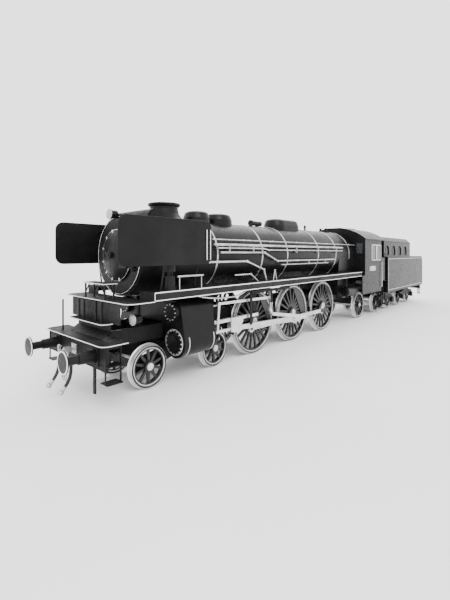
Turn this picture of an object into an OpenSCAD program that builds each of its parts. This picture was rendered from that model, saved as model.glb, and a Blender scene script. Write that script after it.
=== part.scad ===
// Express steam locomotive, 4-6-2, with its eight-wheeled tender. +X is forward, +Y is its left side, +Z is up.
// The origin is on the plane that the wheel flanges stand on, midway between the front and rear buffer faces.

/* [Length] */
// Over the buffer faces, engine and tender together
overall_length = 24120; // [24000:10:24300]
// From the front buffer face to the first bogie axle
front_overhang = 2050; // [2000:10:2100]
// Between the axles of the leading bogie
bogie_base = 2200; // [2160:10:2260]
// From the second bogie axle to the first driving axle
bogie_to_driver = 1800; // [1780:10:1850]
// Between driving axles
driver_base = 2300; // [2290:10:2340]
// From the last driving axle to the trailing axle
driver_to_trailing = 3800; // [3780:10:3860]
// From the trailing axle to the first tender axle
trailing_to_tender = 2220; // [2200:10:2280]
// Between the axles of one tender bogie, and between the two bogies' inner axles
tender_base = 1900; // [1880:10:1940]

/* [Wheels] */
// Driving wheel, over the tread
driver_d = 2000; // [1960:10:2010]
// Leading bogie wheel, over the tread
lead_d = 1000; // [960:10:1010]
// Trailing wheel, over the tread
trail_d = 1250; // [1200:10:1260]
// Tender wheel, over the tread
tender_d = 1000; // [960:10:1010]
// Between the backs of the two tyres of an axle
back_to_back = 1360; // [1358:1:1362]
// Width of a tyre
tyre_w = 140; // [136:1:140]
// How far a flange stands out past the tread
flange_h = 28; // [26:1:30]
// Half of the piston stroke
crank_r = 330; // [320:5:330]
// Where the left crank pin stands at rest, in degrees forward of straight up
left_crank = 120; // [120:1:120]

/* [Boiler] */
// Height of the boiler's axis above the rails
boiler_h = 3100; // [3080:10:3120]
// Outer radius of the smokebox
smokebox_r = 990; // [980:5:995]
// Outer radius of the lagging at the firebox end
barrel_r = 1020; // [1010:5:1025]
// Length of the smokebox
smokebox_l = 2410; // [2390:10:2430]
// Radius of the smokebox door
door_r = 620; // [600:5:630]

/* [Body] */
// Outer half width of the cab and of the tender's tank
half_w = 1500; // [1490:5:1510]
// Height of the running boards above the rails
board_h = 2300; // [2290:5:2320]
// Height of the cab's eaves above the rails
eaves_h = 3820; // [3800:10:3840]
// Height of the cab roof's crown above the rails
crown_h = 4380; // [4360:10:4400]
// Top of the tender's water tank above the rails
tank_h = 2960; // [2940:10:2980]
// Top of the tender's coal bunker above the rails
bunker_h = 4020; // [4000:10:4040]

/* [Hidden] */

$fn = 64;
black = [0.06, 0.06, 0.06];
red = [0.55, 0.08, 0.06];
steel = [0.62, 0.63, 0.64];
glass = [0.5, 0.6, 0.62, 0.4];
brass = [0.72, 0.58, 0.3];

rail = flange_h;
x_front = overall_length / 2;
x_lead_1 = x_front - front_overhang;
x_lead_2 = x_lead_1 - bogie_base;
x_bogie = (x_lead_1 + x_lead_2) / 2;
x_drive_1 = x_lead_2 - bogie_to_driver;
x_drive_2 = x_drive_1 - driver_base;
x_drive_3 = x_drive_2 - driver_base;
x_trail = x_drive_3 - driver_to_trailing;
x_tender_1 = x_trail - trailing_to_tender;
x_tender = [for (i = [0:3]) x_tender_1 - i * tender_base];
z_drive = rail + driver_d / 2;
z_lead = rail + lead_d / 2;
z_trail = rail + trail_d / 2;
z_tender = rail + tender_d / 2;
z_boiler = rail + boiler_h;
z_board = rail + board_h;
z_tank = rail + tank_h;
z_buffer = rail + 1060;

// Running clearances: fixed pieces on one body stand this far apart, and a pin runs this loose in its eye
gap = 0.5;
pin_gap = 1;

// Lateral planes of the motion, measured from the centre line
wheel_back = back_to_back / 2;
y_rod_in = 862;
rod_t = 80;
y_main_in = 990;
main_t = 90;
y_motion = y_main_in + main_t / 2;
main_rod_l = 3200;
right_crank = left_crank + 90;

// Where the crank pins stand, from the axle, as [forward, up]
function crank(angle) = [crank_r * sin(angle), crank_r * cos(angle)];
// How far a crosshead pin stands ahead of the main axle
function crosshead_x(angle) = crank(angle)[0] + sqrt(main_rod_l ^ 2 - crank(angle)[1] ^ 2);

// ---------- helpers ----------

// A box from its lowest to its highest corner
module span(lo, hi) {
    translate(lo) cube(hi - lo);
}

// A cylinder along Y, from y0 to y1, about the point x, z
module rod_y(x, z, y0, y1, r) {
    translate([x, y0, z]) rotate([-90, 0, 0]) cylinder(h = y1 - y0, r = r);
}

// A cylinder along X, from x0 to x1, about the point y, z
module rod_x(y, z, x0, x1, r, r1 = 0) {
    translate([x0, y, z]) rotate([0, 90, 0]) cylinder(h = x1 - x0, r1 = r, r2 = r1 == 0 ? r : r1);
}

// A cylinder along Z, from z0 to z1, about the point x, y
module rod_z(x, y, z0, z1, r) {
    translate([x, y, z0]) cylinder(h = z1 - z0, r = r);
}

// A straight round bar between two points
module bar(a, b, r) {
    d = b - a;
    l = norm(d);
    translate(a) rotate([0, acos(d[2] / l), atan2(d[1], d[0])]) cylinder(h = l, r = r);
}

// A side outline, drawn as X and Z, made into a plate from y0 to y1
module plate_xz(y0, y1) {
    translate([0, y1, 0]) rotate([90, 0, 0]) linear_extrude(height = y1 - y0) children();
}

// An end outline, drawn as Y and Z, made into a body from x0 to x1
module body_yz(x0, x1) {
    translate([x0, 0, 0]) rotate([90, 0, 90]) linear_extrude(height = x1 - x0) children();
}

// What is drawn on the left, and its mirror image on the right
module both_sides() {
    children();
    mirror([0, 1, 0]) children();
}

// Two discs joined by their outer tangents, as an outline: the shape of a link, a boss or a crank
module link_2d(a, ra, b, rb) {
    d = b - a;
    l = norm(d);
    base = atan2(d[1], d[0]);
    lean = acos((ra - rb) / l);
    translate(a) circle(r = ra);
    translate(b) circle(r = rb);
    polygon([for (s = [[a, ra, lean], [b, rb, lean], [b, rb, -lean], [a, ra, -lean]])
        s[0] + 0.999 * s[1] * [cos(base + s[2]), sin(base + s[2])]]);
}

// The outer skin of smokebox, barrel and firebox, grown by a clearance, to cut what sits on it
module boiler_skin(grow = gap) {
    rod_x(0, z_boiler, x_smokebox_back, x_smokebox_front + 60, smokebox_r + grow, $fn = 192);
    rod_x(0, z_boiler, x_barrel_back, x_smokebox_back, barrel_r + grow, barrel_front_r + grow, $fn = 192);
    body_yz(x_backhead, x_barrel_back) firebox_2d(grow);
    body_yz(x_backhead, x_throat) firebox_leg_2d(grow);
}

// ---------- wheels ----------

// A tyre with its flange, standing on its back face, as a solid of revolution about Z
module tyre(r, t = 75) {
    rotate_extrude($fn = 128)
        polygon([[r - t, 0], [r + flange_h - 10, 0], [r + flange_h, 8], [r + flange_h, 18], [r + 14, 30],
            [r + 3, 38], [r, 46], [r - 2, tyre_w - 12], [r - 10, tyre_w], [r - t, tyre_w]]);
}

// A spoked wheel on its back face, with a crank at an angle forward of straight up if it has one
module spoked_wheel(r, spokes, hub_r, hub_t, spoke_w, seat_r, crank_angle = -1, weight = 0, collar = 18) {
    rim = r - 75;
    felloe = max(40, r * 0.06);
    pin = crank_angle < 0 ? [0, 0] : [crank_r * sin(crank_angle), -crank_r * cos(crank_angle)];
    difference() {
        union() {
            tyre(r);
            // the rim's inner ring, just inside the tyre
            translate([0, 0, 15]) linear_extrude(height = tyre_w - 30) difference() {
                circle(r = rim + 2, $fn = 128);
                circle(r = rim - felloe, $fn = 128);
            }
            translate([0, 0, 40]) linear_extrude(height = 62)
                for (i = [0:spokes - 1]) rotate((i + 0.5) * 360 / spokes)
                    polygon([[hub_r * 0.8, -spoke_w * 0.75], [rim - felloe + 8, -spoke_w * 0.5],
                        [rim - felloe + 8, spoke_w * 0.5], [hub_r * 0.8, spoke_w * 0.75]]);
            translate([0, 0, -10]) cylinder(h = hub_t + 10, r = hub_r);
            if (crank_angle >= 0) {
                translate([0, 0, 30]) linear_extrude(height = hub_t - 30) link_2d([0, 0], hub_r, pin, 135);
                // the balance weight, cast between the spokes opposite the crank
                translate([0, 0, 22]) linear_extrude(height = 96) intersection() {
                    circle(r = rim - felloe + 4, $fn = 128);
                    rotate(atan2(-pin[1], -pin[0])) translate([weight, -r]) square([r, 2 * r]);
                }
                // the crank pin and its collar
                translate([pin[0], pin[1], 100]) cylinder(h = y_rod_in + rod_t + 2 - wheel_back - 100, r = 70);
                if (collar > 0) {
                    translate([pin[0], pin[1], 100]) cylinder(h = y_rod_in + rod_t + 6 - wheel_back - 100, r = 69);
                    translate([pin[0], pin[1], y_rod_in + rod_t + 5 - wheel_back]) cylinder(h = collar, r = 86);
                }
            }
        }
        translate([0, 0, -20]) cylinder(h = hub_t + 40, r = seat_r + gap);
    }
}

// A left wheel with its back face at the tyre gauge
module left_wheel(x, z) {
    translate([x, wheel_back, z]) rotate([-90, 0, 0]) children();
}

// One driving axle with its wheels; each wheel sits on the axle's seat with a hair's gap
module driving_wheelset(x, weight, collar = 18) {
    color(red) {
        left_wheel(x, z_drive) spoked_wheel(driver_d / 2, 20, 190, 165, 56, 110, left_crank, weight, collar);
        mirror([0, 1, 0])
            left_wheel(x, z_drive) spoked_wheel(driver_d / 2, 20, 190, 165, 56, 110, right_crank, weight, collar);
    }
    color(steel) rod_y(x, z_drive, -wheel_back - 169, wheel_back + 169, 110);
}

// A plain axle with two spoked wheels and its journals
module carrying_wheelset(x, z, r, spokes, hub_r, journal_y, journal_r) {
    color(red) both_sides() left_wheel(x, z) spoked_wheel(r, spokes, hub_r, 165, 50, 85);
    color(steel) {
        rod_y(x, z, -wheel_back - 170, wheel_back + 170, 85);
        rod_y(x, z, -journal_y, journal_y, journal_r);
    }
}

module leading_wheelset_front() carrying_wheelset(x_lead_1, z_lead, lead_d / 2, 10, 135, 870, 60);
module leading_wheelset_rear() carrying_wheelset(x_lead_2, z_lead, lead_d / 2, 10, 135, 870, 60);
module driving_wheelset_front() driving_wheelset(x_drive_1, 620, 0);
module driving_wheelset_main() driving_wheelset(x_drive_2, 480);
module driving_wheelset_rear() driving_wheelset(x_drive_3, 620);
module trailing_wheelset() carrying_wheelset(x_trail, z_trail, trail_d / 2, 12, 150, 870, 60);
module tender_wheelset(i) carrying_wheelset(x_tender[i], z_tender, tender_d / 2, 10, 130, 1095, 55);
module tender_wheelset_1() tender_wheelset(0);
module tender_wheelset_2() tender_wheelset(1);
module tender_wheelset_3() tender_wheelset(2);
module tender_wheelset_4() tender_wheelset(3);

// ---------- rods and motion ----------

// A rod of I section between two eyes, as [x, z] points, from y0 outwards
module fluted_rod(a, b, y0, t, ha, hb, flute) {
    u = (b - a) / norm(b - a);
    n = [-u[1], u[0]];
    c = a + 230 * u;
    d = b - 230 * u;
    difference() {
        plate_xz(y0, y0 + t) polygon([a - n * ha / 2, b - n * hb / 2, b + n * hb / 2, a + n * ha / 2]);
        for (y = [y0 - 1, y0 + t - flute])
            plate_xz(y, y + flute + 1)
                polygon([c - n * (ha / 2 - 30), d - n * (hb / 2 - 30), d + n * (hb / 2 - 30), c + n * (ha / 2 - 30)]);
    }
}

// The rod that couples the three driving axles of one side
module coupling_rod(angle) {
    p = crank(angle);
    eyes = [for (x = [x_drive_1, x_drive_2, x_drive_3]) [x + p[0], z_drive + p[1]]];
    color(steel) difference() {
        union() {
            for (i = [0, 1]) fluted_rod(eyes[i + 1], eyes[i], y_rod_in, rod_t, 130, 130, 22);
            for (e = eyes) {
                rod_y(e[0], e[1], y_rod_in, y_rod_in + rod_t, 125);
                // oil cup on each eye
                rod_z(e[0], y_rod_in + rod_t / 2, e[1] + 100, e[1] + 165, 26);
            }
            // knuckle joint behind the main eye
            rod_y(eyes[1][0] - 330, eyes[1][1], y_rod_in, y_rod_in + rod_t, 85);
        }
        for (e = eyes) rod_y(e[0], e[1], y_rod_in - 1, y_rod_in + rod_t + 1, 70 + pin_gap);
    }
}

module coupling_rod_left() coupling_rod(left_crank);
module coupling_rod_right() mirror([0, 1, 0]) coupling_rod(right_crank);

// The connecting rod: small end on the crosshead pin, big end and return crank outside the crank pin
module main_rod(angle) {
    p = crank(angle);
    big = [x_drive_2 + p[0], z_drive + p[1]];
    small = [x_drive_2 + crosshead_x(angle), z_drive];
    back = big + return_crank_l * [cos(return_lean(angle)), sin(return_lean(angle))];
    color(steel) difference() {
        union() {
            fluted_rod(big, small, y_main_in, main_t, 190, 130, 25);
            rod_y(big[0], big[1], y_main_in, y_main_in + main_t, 165);
            rod_y(small[0], small[1], y_main_in, y_main_in + main_t, 105);
            // the pin's outer end, with the return crank on it
            rod_y(big[0], big[1], y_main_in - 20, y_return, 75);
            plate_xz(y_main_in + main_t + 8, y_return) link_2d(big, 100, back, 62);
        }
        rod_y(small[0], small[1], y_main_in - 1, y_main_in + main_t + 1, 60 + pin_gap);
    }
}

y_return = y_main_in + main_t + 58;
return_crank_l = 470;
// The return crank's pin stands a quarter turn behind the main pin, near the axle
function return_lean(angle) = 90 - (angle + 180 - 27);

module main_rod_left() main_rod(left_crank);
module main_rod_right() mirror([0, 1, 0]) main_rod(right_crank);

// Crosshead, its pin, and the piston rod that runs into the cylinder
module crosshead(angle) {
    x = x_drive_2 + crosshead_x(angle);
    color(steel) {
        // two cheeks either side of the connecting rod
        plate_xz(y_main_in - 34, y_main_in - 6) crosshead_2d(x);
        plate_xz(y_main_in + main_t + 6, y_main_in + main_t + 34) crosshead_2d(x);
        // shoe that hangs the crosshead on the slide bar
        span([x - 260, y_main_in - 34, z_drive + 150], [x + 260, y_main_in + main_t + 34, z_slide - 3]);
        for (y = [y_motion - slide_w / 2 - 31, y_motion + slide_w / 2 + 3])
            span([x - 260, y, z_slide - 4], [x + 260, y + 28, z_slide + 86]);
        // block that takes the piston rod
        span([x + 150, y_main_in - 34, z_drive - 75], [x + 260, y_main_in + main_t + 34, z_drive + 160]);
        rod_y(x, z_drive, y_main_in - 40, y_main_in + main_t + 40, 60);
        rod_x(y_motion, z_drive, x + 255, x + piston_rod_l, 48);
    }
}

module crosshead_2d(x) {
    link_2d([x, z_drive], 115, [x + 150, z_drive], 90);
    polygon([[x - 110, z_drive], [x + 260, z_drive], [x + 260, z_drive + 160], [x - 260, z_drive + 160]]);
}

module crosshead_left() crosshead(left_crank);
module crosshead_right() mirror([0, 1, 0]) crosshead(right_crank);

slide_w = 110;
piston_rod_l = 2100;
z_slide = z_drive + 230;
x_cyl_front = x_bogie + 530;
x_cyl_back = x_bogie - 530;
x_bracket = x_drive_1 + 130;

// Slide bars, hung between the cylinders and the motion brackets
module slide_bars() {
    color(steel) both_sides()
        span([x_bracket + 30, y_motion - slide_w / 2, z_slide], [x_cyl_back - 22, y_motion + slide_w / 2, z_slide + 90]);
}

link_x = x_drive_1 - 470;
link_z = z_drive + 640;
y_gear = y_return + 12;

// Painted brackets that carry the slide bars and the expansion links
module motion_brackets() {
    y0 = y_gear;
    color(red) both_sides() {
        // plate hung from the running board, outside the wheel and the coupling rod
        span([x_bracket + 30, y_motion - slide_w / 2 + 5, z_slide + 90 + gap], [x_bracket + 210, y_motion + slide_w / 2, z_slide + 130]);
        span([x_bracket + 30, y_motion - slide_w / 2 + 5, z_slide + 90 + gap], [x_bracket + 210, y_motion - 14, z_board - 16 - gap]);
        // the link's bracket, with its arm in to the frame
        span([link_x - 170, y0 - 130, link_z + 340], [link_x + 230, y0 + 20, link_z + 372]);
        span([link_x - 30, y0 - 2, link_z - 60], [link_x + 50, y0 + 20, link_z + 340]);
        span([link_x - 60, 572, link_z + 342], [link_x + 120, y0 - 130, link_z + 372]);
        span([link_x - 60, 572, z_frame_top - 160], [link_x + 120, 600, link_z + 372]);
        // beam along the outside, and the yoke down outside the crosshead
        span([link_x - 1030, y0 + 19, link_z + 300], [x_drive_1 + 590, y0 + 35, link_z + 390]);
        span([x_drive_1 + 550, y0 - 4, z_drive + 20], [x_drive_1 + 650, y0 + 20, link_z + 390]);
    }
}

// Walschaerts gear of one side, held as it stands: link, eccentric rod, radius rod and levers
module valve_gear_side(angle) {
    p = crank(angle);
    big = [x_drive_2 + p[0], z_drive + p[1]];
    back = big + return_crank_l * [cos(return_lean(angle)), sin(return_lean(angle))];
    foot = [link_x - 20, link_z - 430];
    y0 = y_gear;
    color(steel) {
        // eccentric rod, from the return crank to the foot of the link
        plate_xz(y0, y0 + 50) link_2d(back, 66, foot, 50);
        rod_y(back[0], back[1], y0 - 6, y0 + 56, 80);
        // expansion link, slotted and curved
        plate_xz(y0 - 60, y0 - 4) difference() {
            translate([link_x + 1300, link_z]) intersection() {
                difference() {
                    circle(r = 1360, $fn = 128);
                    circle(r = 1240, $fn = 128);
                }
                translate([-1400, -330]) square([400, 660]);
            }
            translate([link_x + 1300, link_z]) intersection() {
                difference() {
                    circle(r = 1325, $fn = 128);
                    circle(r = 1275, $fn = 128);
                }
                translate([-1400, -260]) square([400, 520]);
            }
        }
        plate_xz(y0 - 60, y0 - 4) link_2d([link_x + 8, link_z - 310], 45, foot, 50);
        rod_y(foot[0], foot[1], y0 - 62, y0 + 56, 30);
        rod_y(link_x - 5, link_z, y0 - 20, y0 - 2 - gap, 40);
        // radius rod, forward to the valve spindle
        plate_xz(y0 - 110, y0 - 66) link_2d([link_x, link_z + 90], 40, [x_cyl_back - 420, z_chest + 40], 34);
        rod_y(link_x, link_z + 90, y0 - 112, y0 - 40, 22);
        // combination lever and union link
        plate_xz(y0 - 60, y0 - 20) link_2d([x_cyl_back - 420, z_chest + 60], 38, [x_cyl_back - 360, z_drive + 40], 30);
        rod_y(x_cyl_back - 420, z_chest + 40, y0 - 112, y0 - 18, 20);
        // valve spindle
        rod_x(y_motion, z_chest, x_cyl_back - 470, x_cyl_back - 92, 30);
        rod_y(x_cyl_back - 420, z_chest, y_motion - 40, y0 - 66, 26);
    }
}

module circle_at(p, r) {
    translate(p) circle(r = r);
}

module valve_gear() {
    valve_gear_side(left_crank);
    mirror([0, 1, 0]) valve_gear_side(right_crank);
}

// ---------- cylinders ----------

z_chest = z_drive + 730;
chest_y = y_motion - 30;

// The two outside cylinders with their steam chests, and the saddle between the frames
module cylinders() {
    color(black) {
        both_sides() difference() {
            union() {
                body_yz(x_cyl_back, x_cyl_front) {
                    link_2d([y_motion, z_drive], 385, [chest_y, z_chest], 270);
                    polygon([[572 + gap, z_drive + 120], [y_motion, z_drive + 120], [chest_y, z_chest + 250], [572 + gap, z_chest + 250]]);
                }
                // covers of the cylinder and of the longer valve chest
                rod_x(y_motion, z_drive, x_cyl_back - 20, x_cyl_front + 22, 320);
                rod_x(chest_y, z_chest, x_cyl_back - 90, x_cyl_front + 110, 225);
                rod_x(y_motion, z_drive, x_cyl_front + 20, x_cyl_front + 50, 150);
                rod_x(y_motion, z_drive, x_cyl_back - 90, x_cyl_back - 18, 95);
            }
            // piston rod's way in through the gland
            rod_x(y_motion, z_drive, x_cyl_back - 100, x_cyl_front - 60, 48 + pin_gap + 4);
            // the bore's own space, so that the piston rod moves in the clear
            rod_x(chest_y, z_chest, x_cyl_back - 95, x_cyl_back + 60, 31);
        }
        // smokebox saddle
        difference() {
            union() {
                span([x_cyl_back + 60, -470 + gap, 1500], [x_cyl_front - 60, 470 - gap, z_boiler - 560]);
                span([x_cyl_back + 60, -570, 1440 + gap], [x_cyl_front - 60, 570, z_boiler - 560]);
            }
            boiler_skin();
        }
    }
}

// ---------- frames ----------

z_frame_top = 1560;
x_frame_front = x_front - 700;
x_frame_back = x_trail - 1300;

module frame_2d() {
    difference() {
        polygon([[x_frame_front, 1080], [x_lead_2 - 560, 1080], [x_lead_2 - 700, 850], [x_drive_3 - 1050, 850],
            [x_drive_3 - 1250, 1340], [x_frame_back, 1340], [x_frame_back, 1500], [x_drive_3 - 1000, 1500],
            [x_drive_3 - 900, z_frame_top], [x_lead_2 - 200, z_frame_top], [x_lead_2 + 100, 1440],
            [x_platform - 180, 1440], [x_platform - 60, z_beam_top - gap], [x_frame_front, z_beam_top - gap]]);
        // windows between the axles
        for (x = [x_drive_1, x_drive_2]) for (s = [0.28, 0.72])
            translate([x - driver_base * s, 1205]) {
                square([380, 210], center = true);
                for (e = [-1, 1]) translate([e * 190, 0]) circle(r = 105);
            }
        // axle openings
        for (x = [x_drive_1, x_drive_2, x_drive_3]) translate([x, z_drive]) circle(r = 116);
    }
}

// Bar frames with their cross stretchers, pedestal ties and drag box
module main_frame() {
    color(red) {
        both_sides() plate_xz(470, 570) frame_2d();
        for (x = [x_frame_front - 620, x_lead_1 - 160, x_lead_2 - 420, (x_drive_1 + x_drive_2) / 2, (x_drive_2 + x_drive_3) / 2])
            span([x - 40, -472, 1120], [x + 40, 472, 1420]);
        span([x_drive_3 - 940, -472, 1180], [x_drive_3 - 860, 472, 1480]);
        // centre casting over the bogie, with its pin
        span([x_bogie - 260, -472, 1090], [x_bogie + 260, 472, 1330]);
        rod_z(x_bogie, 0, 800, 1100, 100);
        // drag box at the back
        span([x_frame_back - 40, -572, 1300], [x_frame_back + 420, 572, 1500]);
        difference() {
            union() {
                span([x_frame_back - 40, -150, 1050], [x_frame_back + 260, 150, 1301]);
                rod_z(x_drawbar, 0, 1050, 1301, 120);
            }
            span([x_frame_back - 200, -160, 1110], [x_frame_back + 170, 160, 1240]);
            rod_z(x_drawbar, 0, 1000, 1310, 50 + pin_gap);
        }
        // pad that the trailing truck turns under
        span([x_trail + 1500, -472, 1120], [x_trail + 1660, 472, 1300]);
        rod_z(x_truck_pivot, 0, 900, 1130, 60);
    }
}

x_truck_pivot = x_trail + 1580;

module buffer_beam() {
    color(red) {
        span([x_frame_front + gap, -1350, z_buffer - 250], [x_frame_front + 50, 1350, z_buffer + 250]);
        both_sides() {
            span([x_frame_front - 250, 572, z_buffer - 10], [x_frame_front + 2, 600, z_buffer + 240]);
            // buffer base plates
            span([x_frame_front + 49, 875 - 190, z_buffer - 190], [x_frame_front + 70, 875 + 190, z_buffer + 190]);
        }
    }
    // footsteps under the deck's corners
    color(red) both_sides() {
        for (z = [585, 935]) span([x_frame_front - 290, 1130, z], [x_frame_front + 60, 1400, z + 20]);
        for (x = [x_frame_front - 290, x_frame_front + 44])
            span([x, 1290, 585], [x + 16, 1340, z_beam_top - gap]);
        span([x_frame_front - 290, 1290, z_beam_top - 60], [x_frame_front + 60, 1340, z_beam_top - gap]);
    }
    // rail guards, down ahead of the first wheels
    color(red) both_sides() {
        span([x_frame_front - 40, 700, 260], [x_frame_front - 10, 790, z_buffer - 60]);
        span([x_frame_front - 42, 700, z_buffer - 240], [x_frame_front + gap, 790, z_buffer - 60]);
    }
}

// A buffer, pointing along +X from its base at x0 to its face at x1
module buffer(x0, x1, y) {
    z = z_buffer;
    rod_x(y, z, x0, x0 + 30, 150);
    rod_x(y, z, x0 + 28, x0 + 330, 125, 110);
    rod_x(y, z, x0 + 300, x1 - 40, 85);
    rod_x(y, z, x1 - 75, x1 - 28, 90, 225);
    rod_x(y, z, x1 - 30, x1, 225);
}

module front_buffers() {
    color(black) both_sides() buffer(x_frame_front + 70 + gap, x_front, 875);
}

// A draw hook with the screw coupling that hangs from it, pointing along +X from the beam's face
module coupling(x0) {
    z = z_buffer;
    rod_x(0, z, x0 + gap, x0 + 150, 38);
    span([x0 + gap, -110, z - 110], [x0 + 22, 110, z + 110]);
    plate_xz(-30, 30) difference() {
        union() {
            link_2d([x0 + 120, z], 60, [x0 + 260, z - 20], 80);
            link_2d([x0 + 300, z], 50, [x0 + 330, z + 110], 32);
        }
        translate([x0 + 275, z + 62]) circle(r = 42);
    }
    // pin, shackle, screw and the lower link, hanging
    rod_y(x0 + 190, z - 55, -95, 95, 22);
    both_sides() {
        bar([x0 + 190, 80, z - 55], [x0 + 190, 62, z - 330], 16);
        bar([x0 + 200, 62, z - 330], [x0 + 215, 62, z - 640], 16);
    }
    rod_y(x0 + 192, z - 330, -95, 95, 32);
    rod_z(x0 + 192, 0, z - 560, z - 330, 22);
    rod_y(x0 + 214, z - 640, -78, 78, 20);
    bar([x0 + 192, 0, z - 430], [x0 + 192, 190, z - 450], 12);
    // steel elbows and cocks that the brake hoses hang from
    both_sides() {
        rod_x(300, z - 118, x0 + gap, x0 + 20, 48);
        rod_x(300, z - 118, x0 + 19, x0 + 110, 26);
        rod_y(x0 + 110, z - 118, 300 - 30, 300 + 30, 34);
        bar([x0 + 110, 300, z - 118], [x0 + 190, 300, z - 158], 26);
        rod_y(x0 + 190, z - 158, 300 - 30, 300 + 30, 34);
        bar([x0 + 190, 300, z - 158], [x0 + 220, 300, z - 228], 26);
    }
}

module front_coupling() {
    color(steel) coupling(x_frame_front + 50);
}

// ---------- front platforms ----------

z_beam_top = z_buffer + 250 + gap;
x_platform = x_front - 1060;

z_front = z_board - 208;
// The step below the smokebox door stands just clear of the door's swing
z_step = z_boiler - door_r - 28;
x_front_board = x_platform - 660;

// A plate from x0 to x1 with rounded front corners
module deck_2d(x0, x1, w, r) {
    translate([x0, -w]) square([x1 - r - x0, 2 * w]);
    translate([x0, -w + r]) square([x1 - x0, 2 * (w - r)]);
    for (s = [-1, 1]) translate([x1 - r, s * (w - r)]) circle(r = r);
}

// The plates and steps over the buffer beam, up to the front of the running boards
module pilot_platform() {
    color(black) {
        // deck on the buffer beam
        translate([0, 0, z_beam_top]) linear_extrude(height = 16)
            deck_2d(x_platform - 60, x_frame_front + 150, 1380, 180);
        // middle step, with the sloping apron below it
        translate([0, 0, 1650]) linear_extrude(height = 16) deck_2d(x_platform - 60, x_platform + 200, 800, 140);
        plate_xz(-740, 740) polygon([[x_platform - 45, 1655], [x_platform - 45, 1480], [x_platform + 170, z_beam_top + 10],
            [x_platform + 190, z_beam_top + 10], [x_platform - 29, 1486], [x_platform - 29, 1655]]);
        // front wall between the middle step and the running boards' ends
        span([x_platform - 60, -1085, 1660], [x_platform - 44, 1085, z_front - 1]);
        both_sides() for (y = [280, 520]) rod_z(x_platform + 60, y, 1660, z_front, 26);
        // ends of the running boards, one plate across
        translate([0, 0, z_front - 2]) linear_extrude(height = 18) deck_2d(x_front_board, x_platform, 1470, 220);
        both_sides() {
            span([x_front_board, 1452, z_front - 2], [x_front_board + 16, 1470, z_board]);
            span([x_front_board, 940, z_front - 2], [x_front_board + 16, 1470, z_board]);
        }
        // step below the smokebox door, on posts
        translate([0, 0, z_step]) linear_extrude(height = 18) deck_2d(x_platform - 330, x_platform, 520, 60);
        both_sides() for (x = [x_platform - 280, x_platform - 60]) {
            rod_z(x, 440, z_front + 10, z_step + 5, 22);
            bar([x, 440, z_front + 130], [x, 250, z_step + 5], 14);
        }
        // shunter's grab post, on the deck
        rod_z(x_frame_front - 60, -850, z_beam_top + 15, 2085, 20);
    }
}

// ---------- boiler ----------

x_smokebox_front = x_bogie + 1400;
x_smokebox_back = x_smokebox_front - smokebox_l;
x_barrel_back = x_drive_3 + 200;
x_throat = x_drive_3 - 1150;
x_backhead = x_trail + 700;
barrel_front_r = smokebox_r - 20;
z_grate = 1700;

module firebox_2d(grow = 0) {
    translate([0, z_boiler]) circle(r = barrel_r + grow, $fn = 128);
}

module firebox_leg_2d(grow = 0) {
    polygon([[-barrel_r + 3 - grow, z_boiler], [barrel_r - 3 + grow, z_boiler], [930 + grow, z_grate - grow], [-930 - grow, z_grate - grow]]);
}

module smokebox() {
    color(black) {
        difference() {
            union() {
                rod_x(0, z_boiler, x_smokebox_back + gap, x_smokebox_front, smokebox_r, $fn = 128);
                rod_x(0, z_boiler, x_smokebox_front - 1, x_smokebox_front + 40, smokebox_r - 30, smokebox_r - 60, $fn = 128);
            }
            rod_x(0, z_boiler, x_smokebox_back + 60, x_smokebox_front - 30, smokebox_r - 30);
            rod_x(0, z_boiler, x_smokebox_front - 40, x_smokebox_front + 60, door_r - 50);
            // flue to the chimney
            rod_z(x_bogie + 40, 0, z_boiler, z_boiler + smokebox_r + 50, 290);
        }
        // lugs and pins that carry the door
        for (dz = [-260, 260]) {
            for (z = [z_boiler + dz - 110, z_boiler + dz + 66]) {
                span([x_smokebox_front + 20, y_door_pin - 38, z], [x_door_pin, y_door_pin + 38, z + 44]);
                rod_z(x_door_pin, y_door_pin, z, z + 44, 38);
            }
            rod_z(x_door_pin, y_door_pin, z_boiler + dz - 110, z_boiler + dz + 110, 16);
        }
    }
}

// The dished door, with its hinge straps and the locking wheel, on the vertical pin at its left edge
module smokebox_door() {
    x0 = x_smokebox_front + 46;
    dish = 150;
    // the dish rises by a circle's arc
    ball = (door_r ^ 2 + dish ^ 2) / (2 * dish);
    function rise(r) = sqrt(ball ^ 2 - r ^ 2) - ball + dish;
    color(black) {
        translate([x0, 0, z_boiler]) rotate([0, 90, 0]) rotate_extrude($fn = 128)
            polygon(concat([[0, 4], [door_r - 50, 4], [door_r - 40, 0], [door_r, 0]],
                [for (i = [10:-1:0]) [door_r * i / 10, 30 + rise(door_r * i / 10)]]));
        for (dz = [-260, 260]) difference() {
            union() {
                span([x0 + 4, 200, z_boiler + dz - 35], [x0 + 130, door_r - 60, z_boiler + dz + 35]);
                span([x0 + 4, 500, z_boiler + dz - 35], [x0 + 84, y_door_pin, z_boiler + dz + 35]);
                rod_z(x_door_pin, y_door_pin, z_boiler + dz - 60, z_boiler + dz + 60, 38);
            }
            rod_z(x_door_pin, y_door_pin, z_boiler + dz - 70, z_boiler + dz + 70, 16 + pin_gap);
        }
    }
    color(steel) {
        rod_x(0, z_boiler, x0 + 100, x0 + dish + 110, 30);
        rod_x(0, z_boiler, x0 + dish + 60, x0 + dish + 100, 85);
        bar([x0 + dish + 80, 0, z_boiler], [x0 + dish + 80, -190, z_boiler + 60], 14);
    }
}

x_door_pin = x_smokebox_front + 96;
y_door_pin = door_r + 92;

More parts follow.
